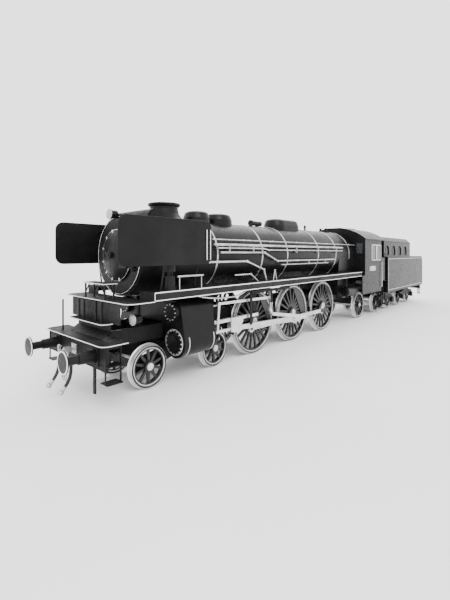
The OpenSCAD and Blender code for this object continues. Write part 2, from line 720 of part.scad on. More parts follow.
module chimney() {
    z0 = z_boiler + smokebox_r;
    color(black) difference() {
        translate([x_bogie + 40, 0, 0]) rotate_extrude($fn = 96)
            polygon([[300, z0 - 60], [620, z0 - 260], [560, z0 - 60], [470, z0 + 20], [405, z0 + 110], [375, z0 + 240],
                [375, z0 + 300], [420, z0 + 320], [435, z0 + 360], [425, z0 + 390], [300, z0 + 390]]);
        boiler_skin();
    }
}

// Feedwater heater, lying across the smokebox ahead of the chimney
module feedwater_heater() {
    x = x_bogie + 900;
    z = z_boiler + smokebox_r - 130;
    color(black) difference() {
        union() {
            rod_y(x, z, -800, 800, 260);
            rod_y(x, z, -830, -798, 225);
            rod_y(x, z, 798, 830, 225);
        }
        boiler_skin();
    }
}

module boiler_barrel() {
    color(black) rod_x(0, z_boiler, x_barrel_back + gap, x_smokebox_back, barrel_r, barrel_front_r);
}

module firebox() {
    color(black) {
        body_yz(x_backhead, x_barrel_back) firebox_2d();
        body_yz(x_backhead, x_throat) firebox_leg_2d();
    }
}

// A dome with a rounded top: half width w, height h over the lagging, and a straight length l along the boiler
module dome(x, w, l, h) {
    z0 = z_boiler + barrel_r - 260;
    top = z_boiler + barrel_r + h;
    profile = [[0, z0], [w + 60, z0], [w + 30, top - h * 0.75], [w, top - h * 0.45], [w * 0.92, top - h * 0.2],
        [w * 0.72, top - h * 0.05], [w * 0.4, top], [0, top]];
    difference() {
        union() {
            for (e = [-1, 1]) translate([x + e * l / 2, 0, 0]) rotate_extrude($fn = 96) polygon(profile);
            if (l > 0) body_yz(x - l / 2, x + l / 2) for (s = [0, 1]) mirror([s, 0]) polygon(profile);
        }
        boiler_skin();
    }
}

module domes() {
    color(black) {
        dome(7750, 370, 0, 262);
        dome(6850, 420, 0, 250);
        dome(3220, 400, 860, 318);
    }
}

module ashpan() {
    x1 = x_throat - 60;
    color(black) {
        span([x_backhead, -900, 1503], [x1, 900, z_grate - gap]);
        span([x_truck_pivot + 180, -460, 1080], [x1, 460, 1504]);
        span([x_backhead, -460, 1080], [x_truck_pivot - 200, 460, 1504]);
        both_sides() span([x_backhead, 574, 1330], [x1, 900, 1504]);
    }
}

// ---------- running boards and fittings ----------

module running_boards() {
    color(black) both_sides() difference() {
        union() {
            span([x_cab_front + gap, 800, z_board - 16], [x_front_board - gap, 1470, z_board]);
            span([x_cab_low + gap, 1452, z_board - 190], [x_front_board - gap, 1470, z_board]);
            for (x = [x_platform - 900, x_drive_1 + 500, x_drive_1 - 1100, x_drive_2 - 1150, x_drive_3 - 1100])
                span([x - 10, 700, z_board - 100], [x + 10, 1452, z_board - 16]);
        }
        boiler_skin();
    }
}

x_deflector = x_bogie - 290;

module smoke_deflectors() {
    r = 190;
    x0 = x_deflector;
    x1 = x_bogie + 2310;
    z0 = z_boiler - 220;
    z1 = z_boiler + 830;
    color(black) {
        both_sides() {
            plate_xz(1448, 1466) {
                translate([x0 + r, z0]) square([x1 - x0 - 2 * r, z1 - z0]);
                translate([x0, z0 + r]) square([x1 - x0, z1 - z0 - 2 * r]);
                for (c = [[x0 + r, z0 + r], [x1 - r, z0 + r], [x0 + r, z1 - r], [x1 - r, z1 - r]]) circle_at(c, r);
            }
            // stiffening strips down the rear edge
            for (x = [x0 + 30, x0 + 150]) span([x, 1465, z0 + 100], [x + 26, 1484, z1 - 200]);
            // stays down to the running board and across to the smokebox
            for (x = [x_bogie + 150, x_bogie + 1150]) {
                bar([x, 1440, z0 + 60], [x, 1300, z_board + 6], 22);
                difference() {
                    bar([x, 1449, z_boiler + 620], [x, 700, z_boiler + 620], 20);
                    boiler_skin();
                }
            }
        }
    }
}

module headlamp(x, y, z) {
    rod_x(y, z, x - 150, x, 95);
    rod_x(y, z, x - 1, x + 35, 115, 118);
    rod_x(y, z, x - 190, x - 149, 60, 95);
}

module headlamps() {
    color(black) {
        both_sides() {
            headlamp(x_platform - 300, 1210, 1770);
            rod_z(x_platform - 390, 1210, 1840, z_front - 2 - gap, 25);
        }
        // the top lamp stands out on a short bracket from the smokebox front
        headlamp(x_smokebox_front + 235, 0, z_boiler + smokebox_r - 10);
        rod_x(0, z_boiler + smokebox_r - 75, x_smokebox_front + 40 + gap, x_smokebox_front + 100, 25);
    }
}

// Handrails along the boiler and on the cab
module handrails() {
    color(steel) both_sides() {
        z = 3555;
        y = 1020;
        rod_x(y, z, x_cab_front + 30, x_deflector - 500, 17);
        for (x = [x_cab_front + 700:1500:x_deflector - 500])
            difference() {
                bar([x, y, z], [x, y - 330, z - 120], 14);
                boiler_skin();
            }
        // beside the cab's rear edge
        rod_z(x_cab_back + 60, half_w + 50, 1500, 2750, 17);
        for (z1 = [1510, 2740]) rod_y(x_cab_back + 60, z1, half_w + gap, half_w + 50, 14);
    }
}

module boiler_pipes() {
    $fn = 32;
    color(black) both_sides() {
        rod_x(1075, 3410, 100, x_deflector - 500, 38);
        pipe_run(1078, [[x_deflector - 640, 3320], [5900, 3320], [5600, 3275], [100, 3275]], 24);
        pipe_run(1090, [[x_deflector - 740, 3195], [5850, 3195], [5120, 2920], [840, 2920]], 30);
        pipe_run(1065, [[4860, 2790], [1440, 2790]], 24);
        pipe_run(1200, [[x_deflector + 100, 2940], [6870, 2940], [6040, 2675], [5900, z_board + 13]], 30);
        pipe_run(1310, [[7540, 2570], [6820, 2570], [6480, z_board + 20]], 22);
        pipe_run(1425, [[x_deflector + 1060, 2640], [x_deflector + 240, 2640]], 22);
        for (x = [x_deflector + 1000, x_deflector + 300]) rod_z(x, 1425, z_board + gap, 2640, 12);
        // clips that hold the pipes to the lagging
        for (x = [700, 2300, 3900, 6400, 7500]) span([x - 14, 1026, 3180], [x + 14, 1100, 3430]);
        for (x = [1700, 3000, 4500]) span([x - 14, 1026, 2780], [x + 14, 1085, 2935]);
        // stand with two legs on the running board
        for (s = [-1, 1]) bar([5690 + s * 90, 1380, z_board + gap + 4], [5690 + s * 12, 1380, 2650], 14);
        rod_x(1380, 2655, 5660, 5720, 20);
    }
}

// A bent pipe at one distance from the centre line, through points given as X and Z
module pipe_run(y, pts, r) {
    for (i = [0:len(pts) - 2])
        bar([pts[i][0], y, pts[i][1]], [pts[i + 1][0], y, pts[i + 1][1]], r);
    for (i = [1:1:len(pts) - 2]) rod_y(pts[i][0], pts[i][1], y - r * 1.15, y + r * 1.15, r * 1.3);
}

// Safety valves, top feed, whistle and turbo generator
module boiler_fittings() {
    z = z_boiler + barrel_r;
    color(black) difference() {
        union() {
            // horizontal valve ahead of the sand dome
            rod_x(0, z + 80, 4600, 5130, 85);
            rod_x(0, z + 80, 5120, 5180, 110);
            rod_z(4800, 0, z - 60, z + 80, 60);
            // whistle, and the pair of safety valves on their seat
            rod_z(1420, 0, z - 60, z + 215, 38);
            rod_z(1420, 0, z + 120, z + 160, 60);
            span([-360, -240, z - 100], [-120, 240, z + 40]);
            for (y = [-130, 130]) rod_z(-240, y, z + 30, z + 170, 55);
        }
        boiler_skin();
    }
}

// Air pump and feed pump, on brackets beside the smokebox
module pumps() {
    color(black) both_sides() {
        x = 9760;
        y = 1240;
        rod_z(x, y, z_board + gap, z_board + 60, 150);
        rod_z(x, y, z_board + 60, z_board + 330, 130);
        rod_z(x, y, z_board + 330, z_board + 420, 70);
        rod_z(x, y, z_board + 420, z_board + 700, 140);
        rod_z(x, y, z_board + 700, z_board + 735, 165);
        for (dy = [-90, 90]) rod_z(x, y + dy, z_board + 320, z_board + 430, 18);
    }
}

module air_reservoirs() {
    color(black) both_sides() {
        rod_x(1180, 1500, x_drive_3 - 2350, x_drive_3 - 1350, 200);
        rod_x(1180, 1500, x_drive_3 - 2390, x_drive_3 - 2350, 130, 200);
        rod_x(1180, 1500, x_drive_3 - 1350, x_drive_3 - 1310, 200, 130);
        for (x = [x_drive_3 - 2200, x_drive_3 - 1500]) span([x - 20, 1160, 1690], [x + 20, 1200, z_board - 16 - gap]);
    }
}

// ---------- brakes ----------

module brake_gear() {
    color(black) both_sides() for (x = [x_drive_1, x_drive_2, x_drive_3]) {
        r = driver_d / 2 + 8;
        // shoe ahead of the wheel
        difference() {
            intersection() {
                span([x + 900, wheel_back + 40, z_drive - 260], [x + 1110, wheel_back + 130, z_drive + 60]);
                rod_y(x, z_drive, wheel_back + 40, wheel_back + 130, r + 60);
            }
            rod_y(x, z_drive, wheel_back + 30, wheel_back + 140, r);
        }
        // hanger up to the frame
        span([x + r + 36, wheel_back + 50, z_drive - 60], [x + r + 76, wheel_back + 90, 1600]);
        span([x + r + 30, 572, 1560], [x + r + 80, wheel_back + 100, 1620]);
    }
}

// ---------- cab ----------

x_cab_front = x_trail + 990;
x_cab_low = x_trail + 1300;
x_cab_back = x_trail - 1130;
z_cab_low = rail + 1270;
z_eaves = rail + eaves_h;
z_crown = rail + crown_h;
wall_t = 40;
roof_w = half_w + 40;
roof_r = (roof_w ^ 2 + (z_crown - z_eaves) ^ 2) / (2 * (z_crown - z_eaves));
z_cab_floor = 1790;
side_windows = [[x_cab_back + 90, x_cab_back + 640], [x_cab_back + 720, x_cab_back + 1270]];
z_window = [rail + 2830, rail + 3530];

module cab_end_2d() {
    intersection() {
        translate([-half_w + wall_t, z_cab_low]) square([2 * (half_w - wall_t), z_crown - z_cab_low]);
        translate([0, z_crown - roof_r]) circle(r = roof_r - 41, $fn = 256);
    }
}

// Side sheets and the front wall, which the boiler passes through
module cab_walls() {
    color(black) {
        both_sides() difference() {
            plate_xz(half_w - wall_t, half_w) polygon([[x_cab_low, 2150], [x_cab_low, z_cab_low], [x_cab_back, z_cab_low],
                [x_cab_back, z_eaves - 45], [x_cab_front, z_eaves - 45], [x_cab_front, z_board - 60], [x_cab_front + 60, 2150]]);
            for (w = side_windows)
                span([w[0], half_w - wall_t - 5, z_window[0]], [w[1], half_w + 5, z_window[1]]);
        }
        difference() {
            body_yz(x_cab_front - wall_t, x_cab_front) difference() {
                cab_end_2d();
                translate([-half_w, z_cab_low - 10]) square([2 * half_w, 620]);
            }
            boiler_skin();
            // front windows
            both_sides() span([x_cab_front - wall_t - 5, 1090, z_boiler + 40], [x_cab_front + 5, 1390, z_boiler + 520]);
        }
    }
}

module roof_shell(r_out, r_in, x0, x1, w) {
    body_yz(x0, x1) intersection() {
        difference() {
            translate([0, z_crown - roof_r]) circle(r = r_out, $fn = 256);
            translate([0, z_crown - roof_r]) circle(r = r_in, $fn = 256);
        }
        translate([-w, z_eaves - 60]) square([2 * w, 600]);
    }
}

module cab_roof() {
    color(black) {
        roof_shell(roof_r, roof_r - 40, x_cab_back - 470, x_cab_front + 60, roof_w);
        // ventilator
        roof_shell(roof_r + 90, roof_r - 1, x_cab_back + 700, x_cab_back + 1500, 480);
    }
}

module cab_floor() {
    color(black) {
        difference() {
            span([x_cab_back - 220, -half_w + wall_t + gap, z_cab_floor - 40], [x_backhead + 600, half_w - wall_t - gap, z_cab_floor]);
            boiler_skin();
        }
        // cab steps, hung outside the trailing wheels
        both_sides() {
            span([x_cab_back - 200, half_w - 330, 480], [x_cab_back + 160, half_w - 60, 500]);
            span([x_cab_back - 200, half_w - 330, 900], [x_cab_back + 160, half_w - 60, 920]);
            for (x = [x_cab_back - 200, x_cab_back + 148]) span([x, half_w - 110, 480], [x + 12, half_w - 60, z_cab_low - gap]);
            span([x_cab_back - 200, half_w - 330, z_cab_low - 30], [x_cab_back + 160, half_w - 60, z_cab_low - gap]);
        }
    }
}

module cab_window_glass() {
    color(glass) both_sides() {
        for (w = side_windows)
            span([w[0] + gap, half_w - 26, z_window[0] + gap], [w[1] - gap, half_w - 14, z_window[1] - gap]);
        span([x_cab_front - 26, 1090 + gap, z_boiler + 40 + gap], [x_cab_front - 14, 1390 - gap, z_boiler + 520 - gap]);
    }
}

// Backhead fittings, regulator, reverser and seats
module cab_fittings() {
    x = x_backhead - gap;
    color(black) {
        // fire door and its frame
        body_yz(x - 60, x) translate([-260, 2150]) square([520, 420]);
        rod_x(0, z_boiler + 300, x - 90, x, 90);
        bar([x - 80, 0, z_boiler + 300], [x - 80, 380, z_boiler + 80], 18);
        // reverser stand on the right
        span([x - 420, -1250, z_cab_floor + gap], [x - 320, -1000, z_cab_floor + 900]);
        rod_y(x - 370, z_cab_floor + 980, -1300, -1240, 170);
        // seats
        both_sides() {
            rod_z(x_cab_back + 360, 1150, z_cab_floor + gap, z_cab_floor + 500, 40);
            span([x_cab_back + 180, 980, z_cab_floor + 500], [x_cab_back + 540, 1320, z_cab_floor + 560]);
        }
    }
    color(brass) for (i = [-2:2]) rod_x(i * 230, z_boiler + 640, x - 70, x, 80);
}

x_door_hinge = x_cab_back - 22;

module cab_door(side) {
    y = half_w - 22;
    door_top = 2950;
    color(black) {
        span([x_door_hinge - 470, y - 18, z_cab_floor + 12], [x_door_hinge - 22, y + 18, door_top]);
        for (z = [z_cab_floor + 160, door_top - 220]) {
            rod_z(x_door_hinge, y, z, z + 100, 14);
            span([x_door_hinge - 30, y - 6, z], [x_door_hinge, y + 6, z + 100]);
        }
    }
}

module cab_door_left() cab_door(1);
module cab_door_right() mirror([0, 1, 0]) cab_door(1);

// ---------- leading bogie and trailing truck ----------

module bogie_frame() {
    color(red) {
        both_sides() difference() {
            plate_xz(600, 640) polygon([[x_lead_1 + 330, 420], [x_lead_1 + 330, 720], [x_bogie + 400, 900], [x_bogie - 400, 900],
                [x_lead_2 - 330, 720], [x_lead_2 - 330, 420], [x_lead_2 + 300, 420], [x_bogie - 300, 560],
                [x_bogie + 300, 560], [x_lead_1 - 300, 420]]);
            for (x = [x_lead_1, x_lead_2]) rod_y(x, z_lead, 590, 650, 92);
        }
        for (x = [x_lead_1 + 290, x_lead_2 - 330]) span([x, -602, 500], [x + 40, 602, 690]);
        difference() {
            span([x_bogie - 280, -602, 620], [x_bogie + 280, 602, 880]);
            rod_z(x_bogie, 0, 600, 900, 106);
        }
        // side bearers
        both_sides() rod_z(x_bogie, 520, 879, 1070, 70);
    }
}

module trailing_truck() {
    color(red) {
        both_sides() difference() {
            plate_xz(560, 600) polygon([[x_trail + 420, 560], [x_trail + 420, 900], [x_trail - 400, 900], [x_trail - 400, 560]]);
            rod_y(x_trail, z_trail, 550, 610, 92);
        }
        span([x_trail + 380, -562, 700], [x_trail + 420, 562, 880]);
        span([x_trail - 400, -562, 700], [x_trail - 360, 562, 880]);
        // arms forward to the pivot
        difference() {
            union() {
                translate([0, 0, 960]) linear_extrude(height = 60) {
                    polygon([[x_trail + 400, -500], [x_trail + 400, -420], [x_truck_pivot, -60], [x_truck_pivot, -120]]);
                    polygon([[x_trail + 400, 500], [x_trail + 400, 420], [x_truck_pivot, 60], [x_truck_pivot, 120]]);
                    circle_at([x_truck_pivot, 0], 130);
                }
                for (y = [-460, 460]) span([x_trail + 382, y - 40, 860], [x_trail + 418, y + 40, 1020]);
            }
            rod_z(x_truck_pivot, 0, 900, 1100, 66);
        }
    }
}

// ---------- tender ----------

x_tender_front = x_tender_1 + 400;
x_tank_front = x_tender_1 + 90;
x_tender_back = -x_front + 700;
x_drawbar = x_frame_back - 40;
bunker_back = x_tender_1 - 4700;

module tender_frame() {
    top = z_tank_low - gap;
    color(red) {
        both_sides() span([x_tender_back - 1, 400, 1062], [x_tender_front - 20, 440, top]);
        span([x_tender_back - 50, -1350, z_buffer - 250], [x_tender_back - gap, 1350, top]);
        span([x_tender_back - 50, -1350, top - 1], [x_tender_back - 12, 1350, z_buffer + 250]);
        // bolsters over the bogies, with their pins
        for (x = [x_tender_1 - tender_base / 2, x_tender[3] + tender_base / 2]) {
            span([x - 260, -441, 1010], [x + 260, 441, top]);
            rod_z(x, 0, 720, 1012, 90);
        }
        // front beam and footplate
        span([x_tender_front - 60, -1350, 1080], [x_tender_front - 20, 1350, z_cab_floor - 60]);
        span([x_tank_front + gap, -1440, z_cab_floor - 61], [x_tender_front, 1440, z_cab_floor - 30]);
        // drawbar forward to its pin
        span([x_tender_front - 60, -70, 1130], [x_drawbar, 70, 1220]);
        rod_z(x_drawbar, 0, 1130, 1220, 110);
        rod_z(x_drawbar, 0, 1040, 1296, 50);
        // footsteps at the front and rear corners
        both_sides() for (x = [x_tender_front - 360, x_tender_back + 60]) {
            for (z = [520, 860]) span([x, 1255, z], [x + 340, 1440, z + 20]);
            for (dx = [0, 324]) span([x + dx, 1300, 520], [x + dx + 16, 1350, top]);
            span([x, 1260, top - 40], [x + 340, 1350, top]);
        }
        both_sides() {
            span([x_tender_front - 360, 400, top - 40], [x_tender_front - 300, 1340, top]);
            span([x_tender_back - 1, 400, top - 40], [x_tender_back + 70, 1340, top]);
        }
    }
    // grab rails beside the footplate
    color(steel) both_sides() rod_z(x_tender_front - 150, 1400, z_cab_floor - 31, 3200, 17);
}

z_tank_low = z_buffer + 20 + gap;

module tank_side_2d() {
    r = 340;
    low = 260;
    translate([x_tender_back + r, z_tank_low]) square([x_tank_front - x_tender_back - r, z_tank - z_tank_low]);
    translate([x_tender_back, z_tank_low + low]) square([r + 1, z_tank - r - z_tank_low - low]);
    circle_at([x_tender_back + r, z_tank - r], r);
    circle_at([x_tender_back + low, z_tank_low + low], low);
    translate([x_tender_back + low, z_tank_low]) square([r, low + 1]);
}

module tender_tank() {
    color(black) {
        plate_xz(-half_w, half_w) tank_side_2d();
        // filler wells under the hatches
        both_sides() difference() {
            rod_z(x_hatch, 780, z_tank - 1, z_tank + 110, 260);
            rod_z(x_hatch, 780, z_tank + 20, z_tank + 120, 235);
        }
        // hinge lugs and pins of the hatches
        both_sides() {
            for (e = [-1, 1]) span([x_hatch + e * 131 - 9, 460, z_tank - 1], [x_hatch + e * 131 + 9, 500, z_tank + 157]);
            rod_x(480, z_tank + 135, x_hatch - 138, x_hatch + 138, 8);
        }
        // rear ladder
        for (y = [-480, -100]) {
            span([x_tender_back - 130, y, 1380], [x_tender_back - 110, y + 20, z_tank + 60]);
            for (z = [1400, 2500]) span([x_tender_back - 130, y, z], [x_tender_back + 10, y + 20, z + 20]);
            span([x_tender_back - 130, y, z_tank + 40], [x_tender_back + 500, y + 20, z_tank + 60]);
            span([x_tender_back + 480, y, z_tank - 10], [x_tender_back + 500, y + 20, z_tank + 60]);
        }
        for (z = [1480:280:z_tank]) rod_y(x_tender_back - 120, z, -470, -90, 12);
    }
}

x_hatch = x_tender_back + 1300;

module water_hatch(y, hinge_y) {
    color(black) difference() {
        union() {
            rod_z(x_hatch, y, z_tank + 111, z_tank + 135, 275);
            rod_x(hinge_y, z_tank + 135, x_hatch - 115, x_hatch + 115, 22);
            span([x_hatch - 100, min(y, hinge_y), z_tank + 125], [x_hatch + 100, max(y, hinge_y), z_tank + 147]);
        }
        rod_x(hinge_y, z_tank + 135, x_hatch - 120, x_hatch + 120, 8 + pin_gap);
    }
}

module water_hatch_left() water_hatch(780, 480);
module water_hatch_right() water_hatch(-780, -480);

module coal_bunker() {
    w = 1250;
    t = 30;
    z0 = z_tank + gap;
    z1 = rail + bunker_h;
    zs = z1 - 200;
    x1 = x_tank_front - 40;
    color(black) {
        difference() {
            body_yz(bunker_back, x1) polygon([[-w, z0], [w, z0], [w, zs], [w - 200, z1], [200 - w, z1], [-w, zs]]);
            body_yz(bunker_back + t, x1 - t) polygon([[t - w, z0 + 40], [w - t, z0 + 40], [w - t, zs - 12],
                [w - 230, z1 - 12], [w - 230, z1 + 10], [230 - w, z1 + 10], [230 - w, z1 - 12], [t - w, zs - 12]]);
            // shovel opening towards the cab
            span([x1 - t - 5, -400, z0 + 40], [x1 + 5, 400, z0 + 500]);
        }
        // outer skin with round-topped recesses
        both_sides() plate_xz(w - 1, w + 36) difference() {
            translate([bunker_back, z0]) square([x1 - bunker_back, zs - z0]);
            for (i = [0:3]) translate([x1 - 520 - i * 1070, z0 + 90]) {
                translate([-270, 0]) square([540, 230]);
                translate([0, 230]) circle(r = 270);
            }
        }
    }
}

module tender_drawgear() {
    color(black) both_sides() mirror([1, 0, 0]) buffer(-x_tender_back + 50 + gap, x_front, 875);
    color(steel) mirror([1, 0, 0]) coupling(-x_tender_back + 50);
}

module tender_bogie(x) {
    r = tender_base / 2;
    color(red) {
        both_sides() {
            plate_xz(990, 1040) difference() {
                polygon([[x + r + 330, 640], [x + r + 200, 820], [x + 300, 940], [x - 300, 940], [x - r - 200, 820], [x - r - 330, 640],
                    [x - r - 200, 430], [x - r + 200, 430], [x - 400, 620], [x + 400, 620], [x + r - 200, 430], [x + r + 200, 430]]);
                for (e = [-1, 1]) circle_at([x + e * r, z_tender], 61);
            }
            // axle boxes over the journals
            for (e = [-1, 1]) difference() {
                span([x + e * r - 130, 1040, z_tender - 130], [x + e * r + 130, 1150, z_tender + 150]);
                rod_y(x + e * r, z_tender, 1030, 1105, 61);
            }
        }
        difference() {
            span([x - 200, -992, 700], [x + 200, 992, 880]);
            rod_z(x, 0, 690, 900, 92);
        }
    }
}

module tender_bogie_front() tender_bogie(x_tender_1 - tender_base / 2);
module tender_bogie_rear() tender_bogie(x_tender[3] + tender_base / 2);

// ---------- assembly ----------

main_frame();
buffer_beam();
front_buffers();
front_coupling();
pilot_platform();
cylinders();
slide_bars();
motion_brackets();
crosshead_left();
crosshead_right();
main_rod_left();
main_rod_right();
valve_gear();
brake_gear();
smokebox();
smokebox_door();
chimney();
feedwater_heater();
boiler_barrel();
firebox();
domes();
ashpan();
running_boards();
smoke_deflectors();
headlamps();
handrails();
boiler_pipes();
boiler_fittings();
pumps();
air_reservoirs();
cab_walls();
cab_roof();
cab_floor();
cab_window_glass();
cab_fittings();
cab_door_left();
cab_door_right();
bogie_frame();
leading_wheelset_front();
leading_wheelset_rear();
driving_wheelset_front();
driving_wheelset_main();
driving_wheelset_rear();
coupling_rod_left();
coupling_rod_right();
trailing_truck();
trailing_wheelset();
tender_frame();
tender_tank();
coal_bunker();
water_hatch_left();
water_hatch_right();
tender_drawgear();
tender_bogie_front();
tender_bogie_rear();
tender_wheelset_1();
tender_wheelset_2();
tender_wheelset_3();
tender_wheelset_4();
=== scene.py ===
import math

import bmesh
import bpy
from mathutils import Matrix, Vector


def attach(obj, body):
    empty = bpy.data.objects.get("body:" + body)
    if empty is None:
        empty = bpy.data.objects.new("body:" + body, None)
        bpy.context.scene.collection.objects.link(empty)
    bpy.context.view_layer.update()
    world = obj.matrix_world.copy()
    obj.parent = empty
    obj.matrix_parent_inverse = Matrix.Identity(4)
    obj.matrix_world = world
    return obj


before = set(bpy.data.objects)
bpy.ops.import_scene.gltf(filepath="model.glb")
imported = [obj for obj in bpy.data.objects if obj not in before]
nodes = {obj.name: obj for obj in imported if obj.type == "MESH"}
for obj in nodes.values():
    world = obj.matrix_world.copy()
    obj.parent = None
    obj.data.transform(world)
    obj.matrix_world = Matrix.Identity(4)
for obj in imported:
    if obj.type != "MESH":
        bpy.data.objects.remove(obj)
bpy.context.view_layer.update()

# ---------------------------------------------------------------- camera
# About three metres above the rails, ahead of the engine and off its left side, looking level.
camera = bpy.data.objects.new("camera", bpy.data.cameras.new("camera"))
bpy.context.scene.collection.objects.link(camera)
bpy.context.scene.camera = camera
look = math.radians(42.245)
camera.location = (14.994, 7.72, 3.179)
forward = Vector((-math.cos(look), -math.sin(look), 0))
camera.rotation_euler = forward.to_track_quat("-Z", "Y").to_euler()
camera.data.sensor_fit = "VERTICAL"
camera.data.sensor_height = 36
camera.data.lens = 21.39
camera.data.shift_y = -0.0781667
camera.data.clip_end = 600

# ---------------------------------------------------------------- studio
# A pale seamless floor under a pale sky, with one broad soft lamp from the engine's left
# front and a weaker one from behind.
STUDIO_GREY = (0.86, 0.86, 0.865, 1)
world = bpy.data.worlds.new("studio")
bpy.context.scene.world = world
world.use_nodes = True
world.node_tree.nodes["Background"].inputs["Color"].default_value = STUDIO_GREY
world.node_tree.nodes["Background"].inputs["Strength"].default_value = 3.0
for lamp_name, turn, tilt, strength in (("key", 62, 48, 2.0), ("back", 205, 40, 0.5)):
    sun = bpy.data.objects.new(lamp_name, bpy.data.lights.new(lamp_name, "SUN"))
    bpy.context.scene.collection.objects.link(sun)
    sun.data.energy = strength
    sun.data.angle = 0.6
    sun.rotation_euler = (math.radians(90 - tilt), 0, math.radians(90 + turn))


def material(name):
    made = bpy.data.materials.new(name)
    made.use_nodes = True
    return made, made.node_tree, made.node_tree.nodes["Principled BSDF"]


def pattern(tree, size, detail=4.0, stretch=(1, 1, 1)):
    """Noise on Object coordinates, as a value; size is in metres."""
    place = tree.nodes.new("ShaderNodeTexCoord")
    mapping = tree.nodes.new("ShaderNodeMapping")
    mapping.inputs["Scale"].default_value = stretch
    tree.links.new(place.outputs["Object"], mapping.inputs["Vector"])
    cloud = tree.nodes.new("ShaderNodeTexNoise")
    cloud.inputs["Scale"].default_value = 1 / size
    cloud.inputs["Detail"].default_value = detail
    tree.links.new(mapping.outputs["Vector"], cloud.inputs["Vector"])
    return cloud.outputs["Fac"]


def between(tree, value, low, high):
    """A value spread over a range, for roughness."""
    spread = tree.nodes.new("ShaderNodeMapRange")
    spread.inputs["From Min"].default_value = 0.35
    spread.inputs["From Max"].default_value = 0.65
    spread.inputs["To Min"].default_value = low
    spread.inputs["To Max"].default_value = high
    tree.links.new(value, spread.inputs["Value"])
    return spread.outputs["Result"]


def blend_colours(tree, value, first, second, start=0.4, end=0.65):
    ramp = tree.nodes.new("ShaderNodeValToRGB")
    ramp.color_ramp.elements[0].position = start
    ramp.color_ramp.elements[0].color = (*first, 1)
    ramp.color_ramp.elements[1].position = end
    ramp.color_ramp.elements[1].color = (*second, 1)
    tree.links.new(value, ramp.inputs["Fac"])
    return ramp.outputs["Color"]


def roughen(tree, shader, value, depth):
    bump = tree.nodes.new("ShaderNodeBump")
    bump.inputs["Distance"].default_value = depth
    bump.inputs["Strength"].default_value = 0.6
    tree.links.new(value, bump.inputs["Height"])
    tree.links.new(bump.outputs["Normal"], shader.inputs["Normal"])


floor_finish, tree, shader = material("studio_floor")
floor_grey = blend_colours(tree, pattern(tree, 6.0), (0.80, 0.80, 0.805), (0.83, 0.83, 0.835))
tree.links.new(floor_grey, shader.inputs["Base Color"])
shader.inputs["Roughness"].default_value = 0.9
shader.inputs["Specular IOR Level"].default_value = 0.1
bm = bmesh.new()
bmesh.ops.create_grid(bm, x_segments=8, y_segments=8, size=260)
floor_mesh = bpy.data.meshes.new("floor")
bm.to_mesh(floor_mesh)
bm.free()
floor_mesh.materials.append(floor_finish)
floor = bpy.data.objects.new("floor", floor_mesh)
bpy.context.scene.collection.objects.link(floor)

# ---------------------------------------------------------------- frames, beams and steps
# Plate and bar frames, buffer beams, bogie frames and steps: rolled steel, riveted and bolted,
# brushed with black enamel that has gone dull with oil and brake dust.


ENAMEL_GLOSS = 0.14
BUFFER_Y = 0.875
BUFFER_Z = 1.088


def enamel(name, colour, dust, low, high, grain=0.004, depth=0.0006):
    """Black enamel with dust in soft clouds, and a fine orange-peel surface."""
    made, tree, shader = material(name)
    cloud = pattern(tree, 0.9, 6.0)
    tree.links.new(blend_colours(tree, cloud, colour, dust), shader.inputs["Base Color"])
    tree.links.new(between(tree, pattern(tree, 0.12, 5.0), low, high), shader.inputs["Roughness"])
    roughen(tree, shader, pattern(tree, grain, 2.0), depth)
    shader.inputs["Specular IOR Level"].default_value = ENAMEL_GLOSS
    return made


def dress(names, finish):
    """Gives CAD nodes their finish."""
    for node_name in names:
        for slot in nodes[node_name].material_slots:
            slot.material = finish


frame_black = enamel("frame_black", (0.004, 0.004, 0.004), (0.010, 0.0095, 0.009), 0.42, 0.62, 0.01)
dress(("main_frame", "buffer_beam", "motion_brackets", "bogie_frame", "trailing_truck", "tender_frame",
       "tender_bogie_front", "tender_bogie_rear", "brake_gear", "ashpan"), frame_black)


def finish_piece(name, bm, finish, body, smooth=True):
    """Merges doubles, points the faces outwards, and hangs the piece on its body."""
    bmesh.ops.remove_doubles(bm, verts=bm.verts, dist=0.00002)
    bmesh.ops.recalc_face_normals(bm, faces=bm.faces)
    mesh = bpy.data.meshes.new(name)
    bm.to_mesh(mesh)
    bm.free()
    mesh.materials.append(finish)
    if smooth:
        mesh.shade_smooth()
        mesh.set_sharp_from_angle(angle=math.radians(35))
    piece = bpy.data.objects.new(name, mesh)
    bpy.context.scene.collection.objects.link(piece)
    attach(piece, body)
    return piece


def rivet(bm, place, facing, size=0.013):
    """A snap-headed rivet: a low dome standing on the plate."""
    turn = Vector(facing).to_track_quat("Z", "Y").to_matrix().to_4x4()
    where = Matrix.Translation(place) @ turn @ Matrix.Diagonal((1, 1, 0.6, 1))
    bmesh.ops.create_icosphere(bm, subdivisions=1, radius=size, matrix=where)


def rivet_row(bm, first, last, pitch, facing, size=0.013):
    first, last = Vector(first), Vector(last)
    count = max(1, round((last - first).length / pitch))
    for i in range(count + 1):
        rivet(bm, first.lerp(last, i / count), facing, size)


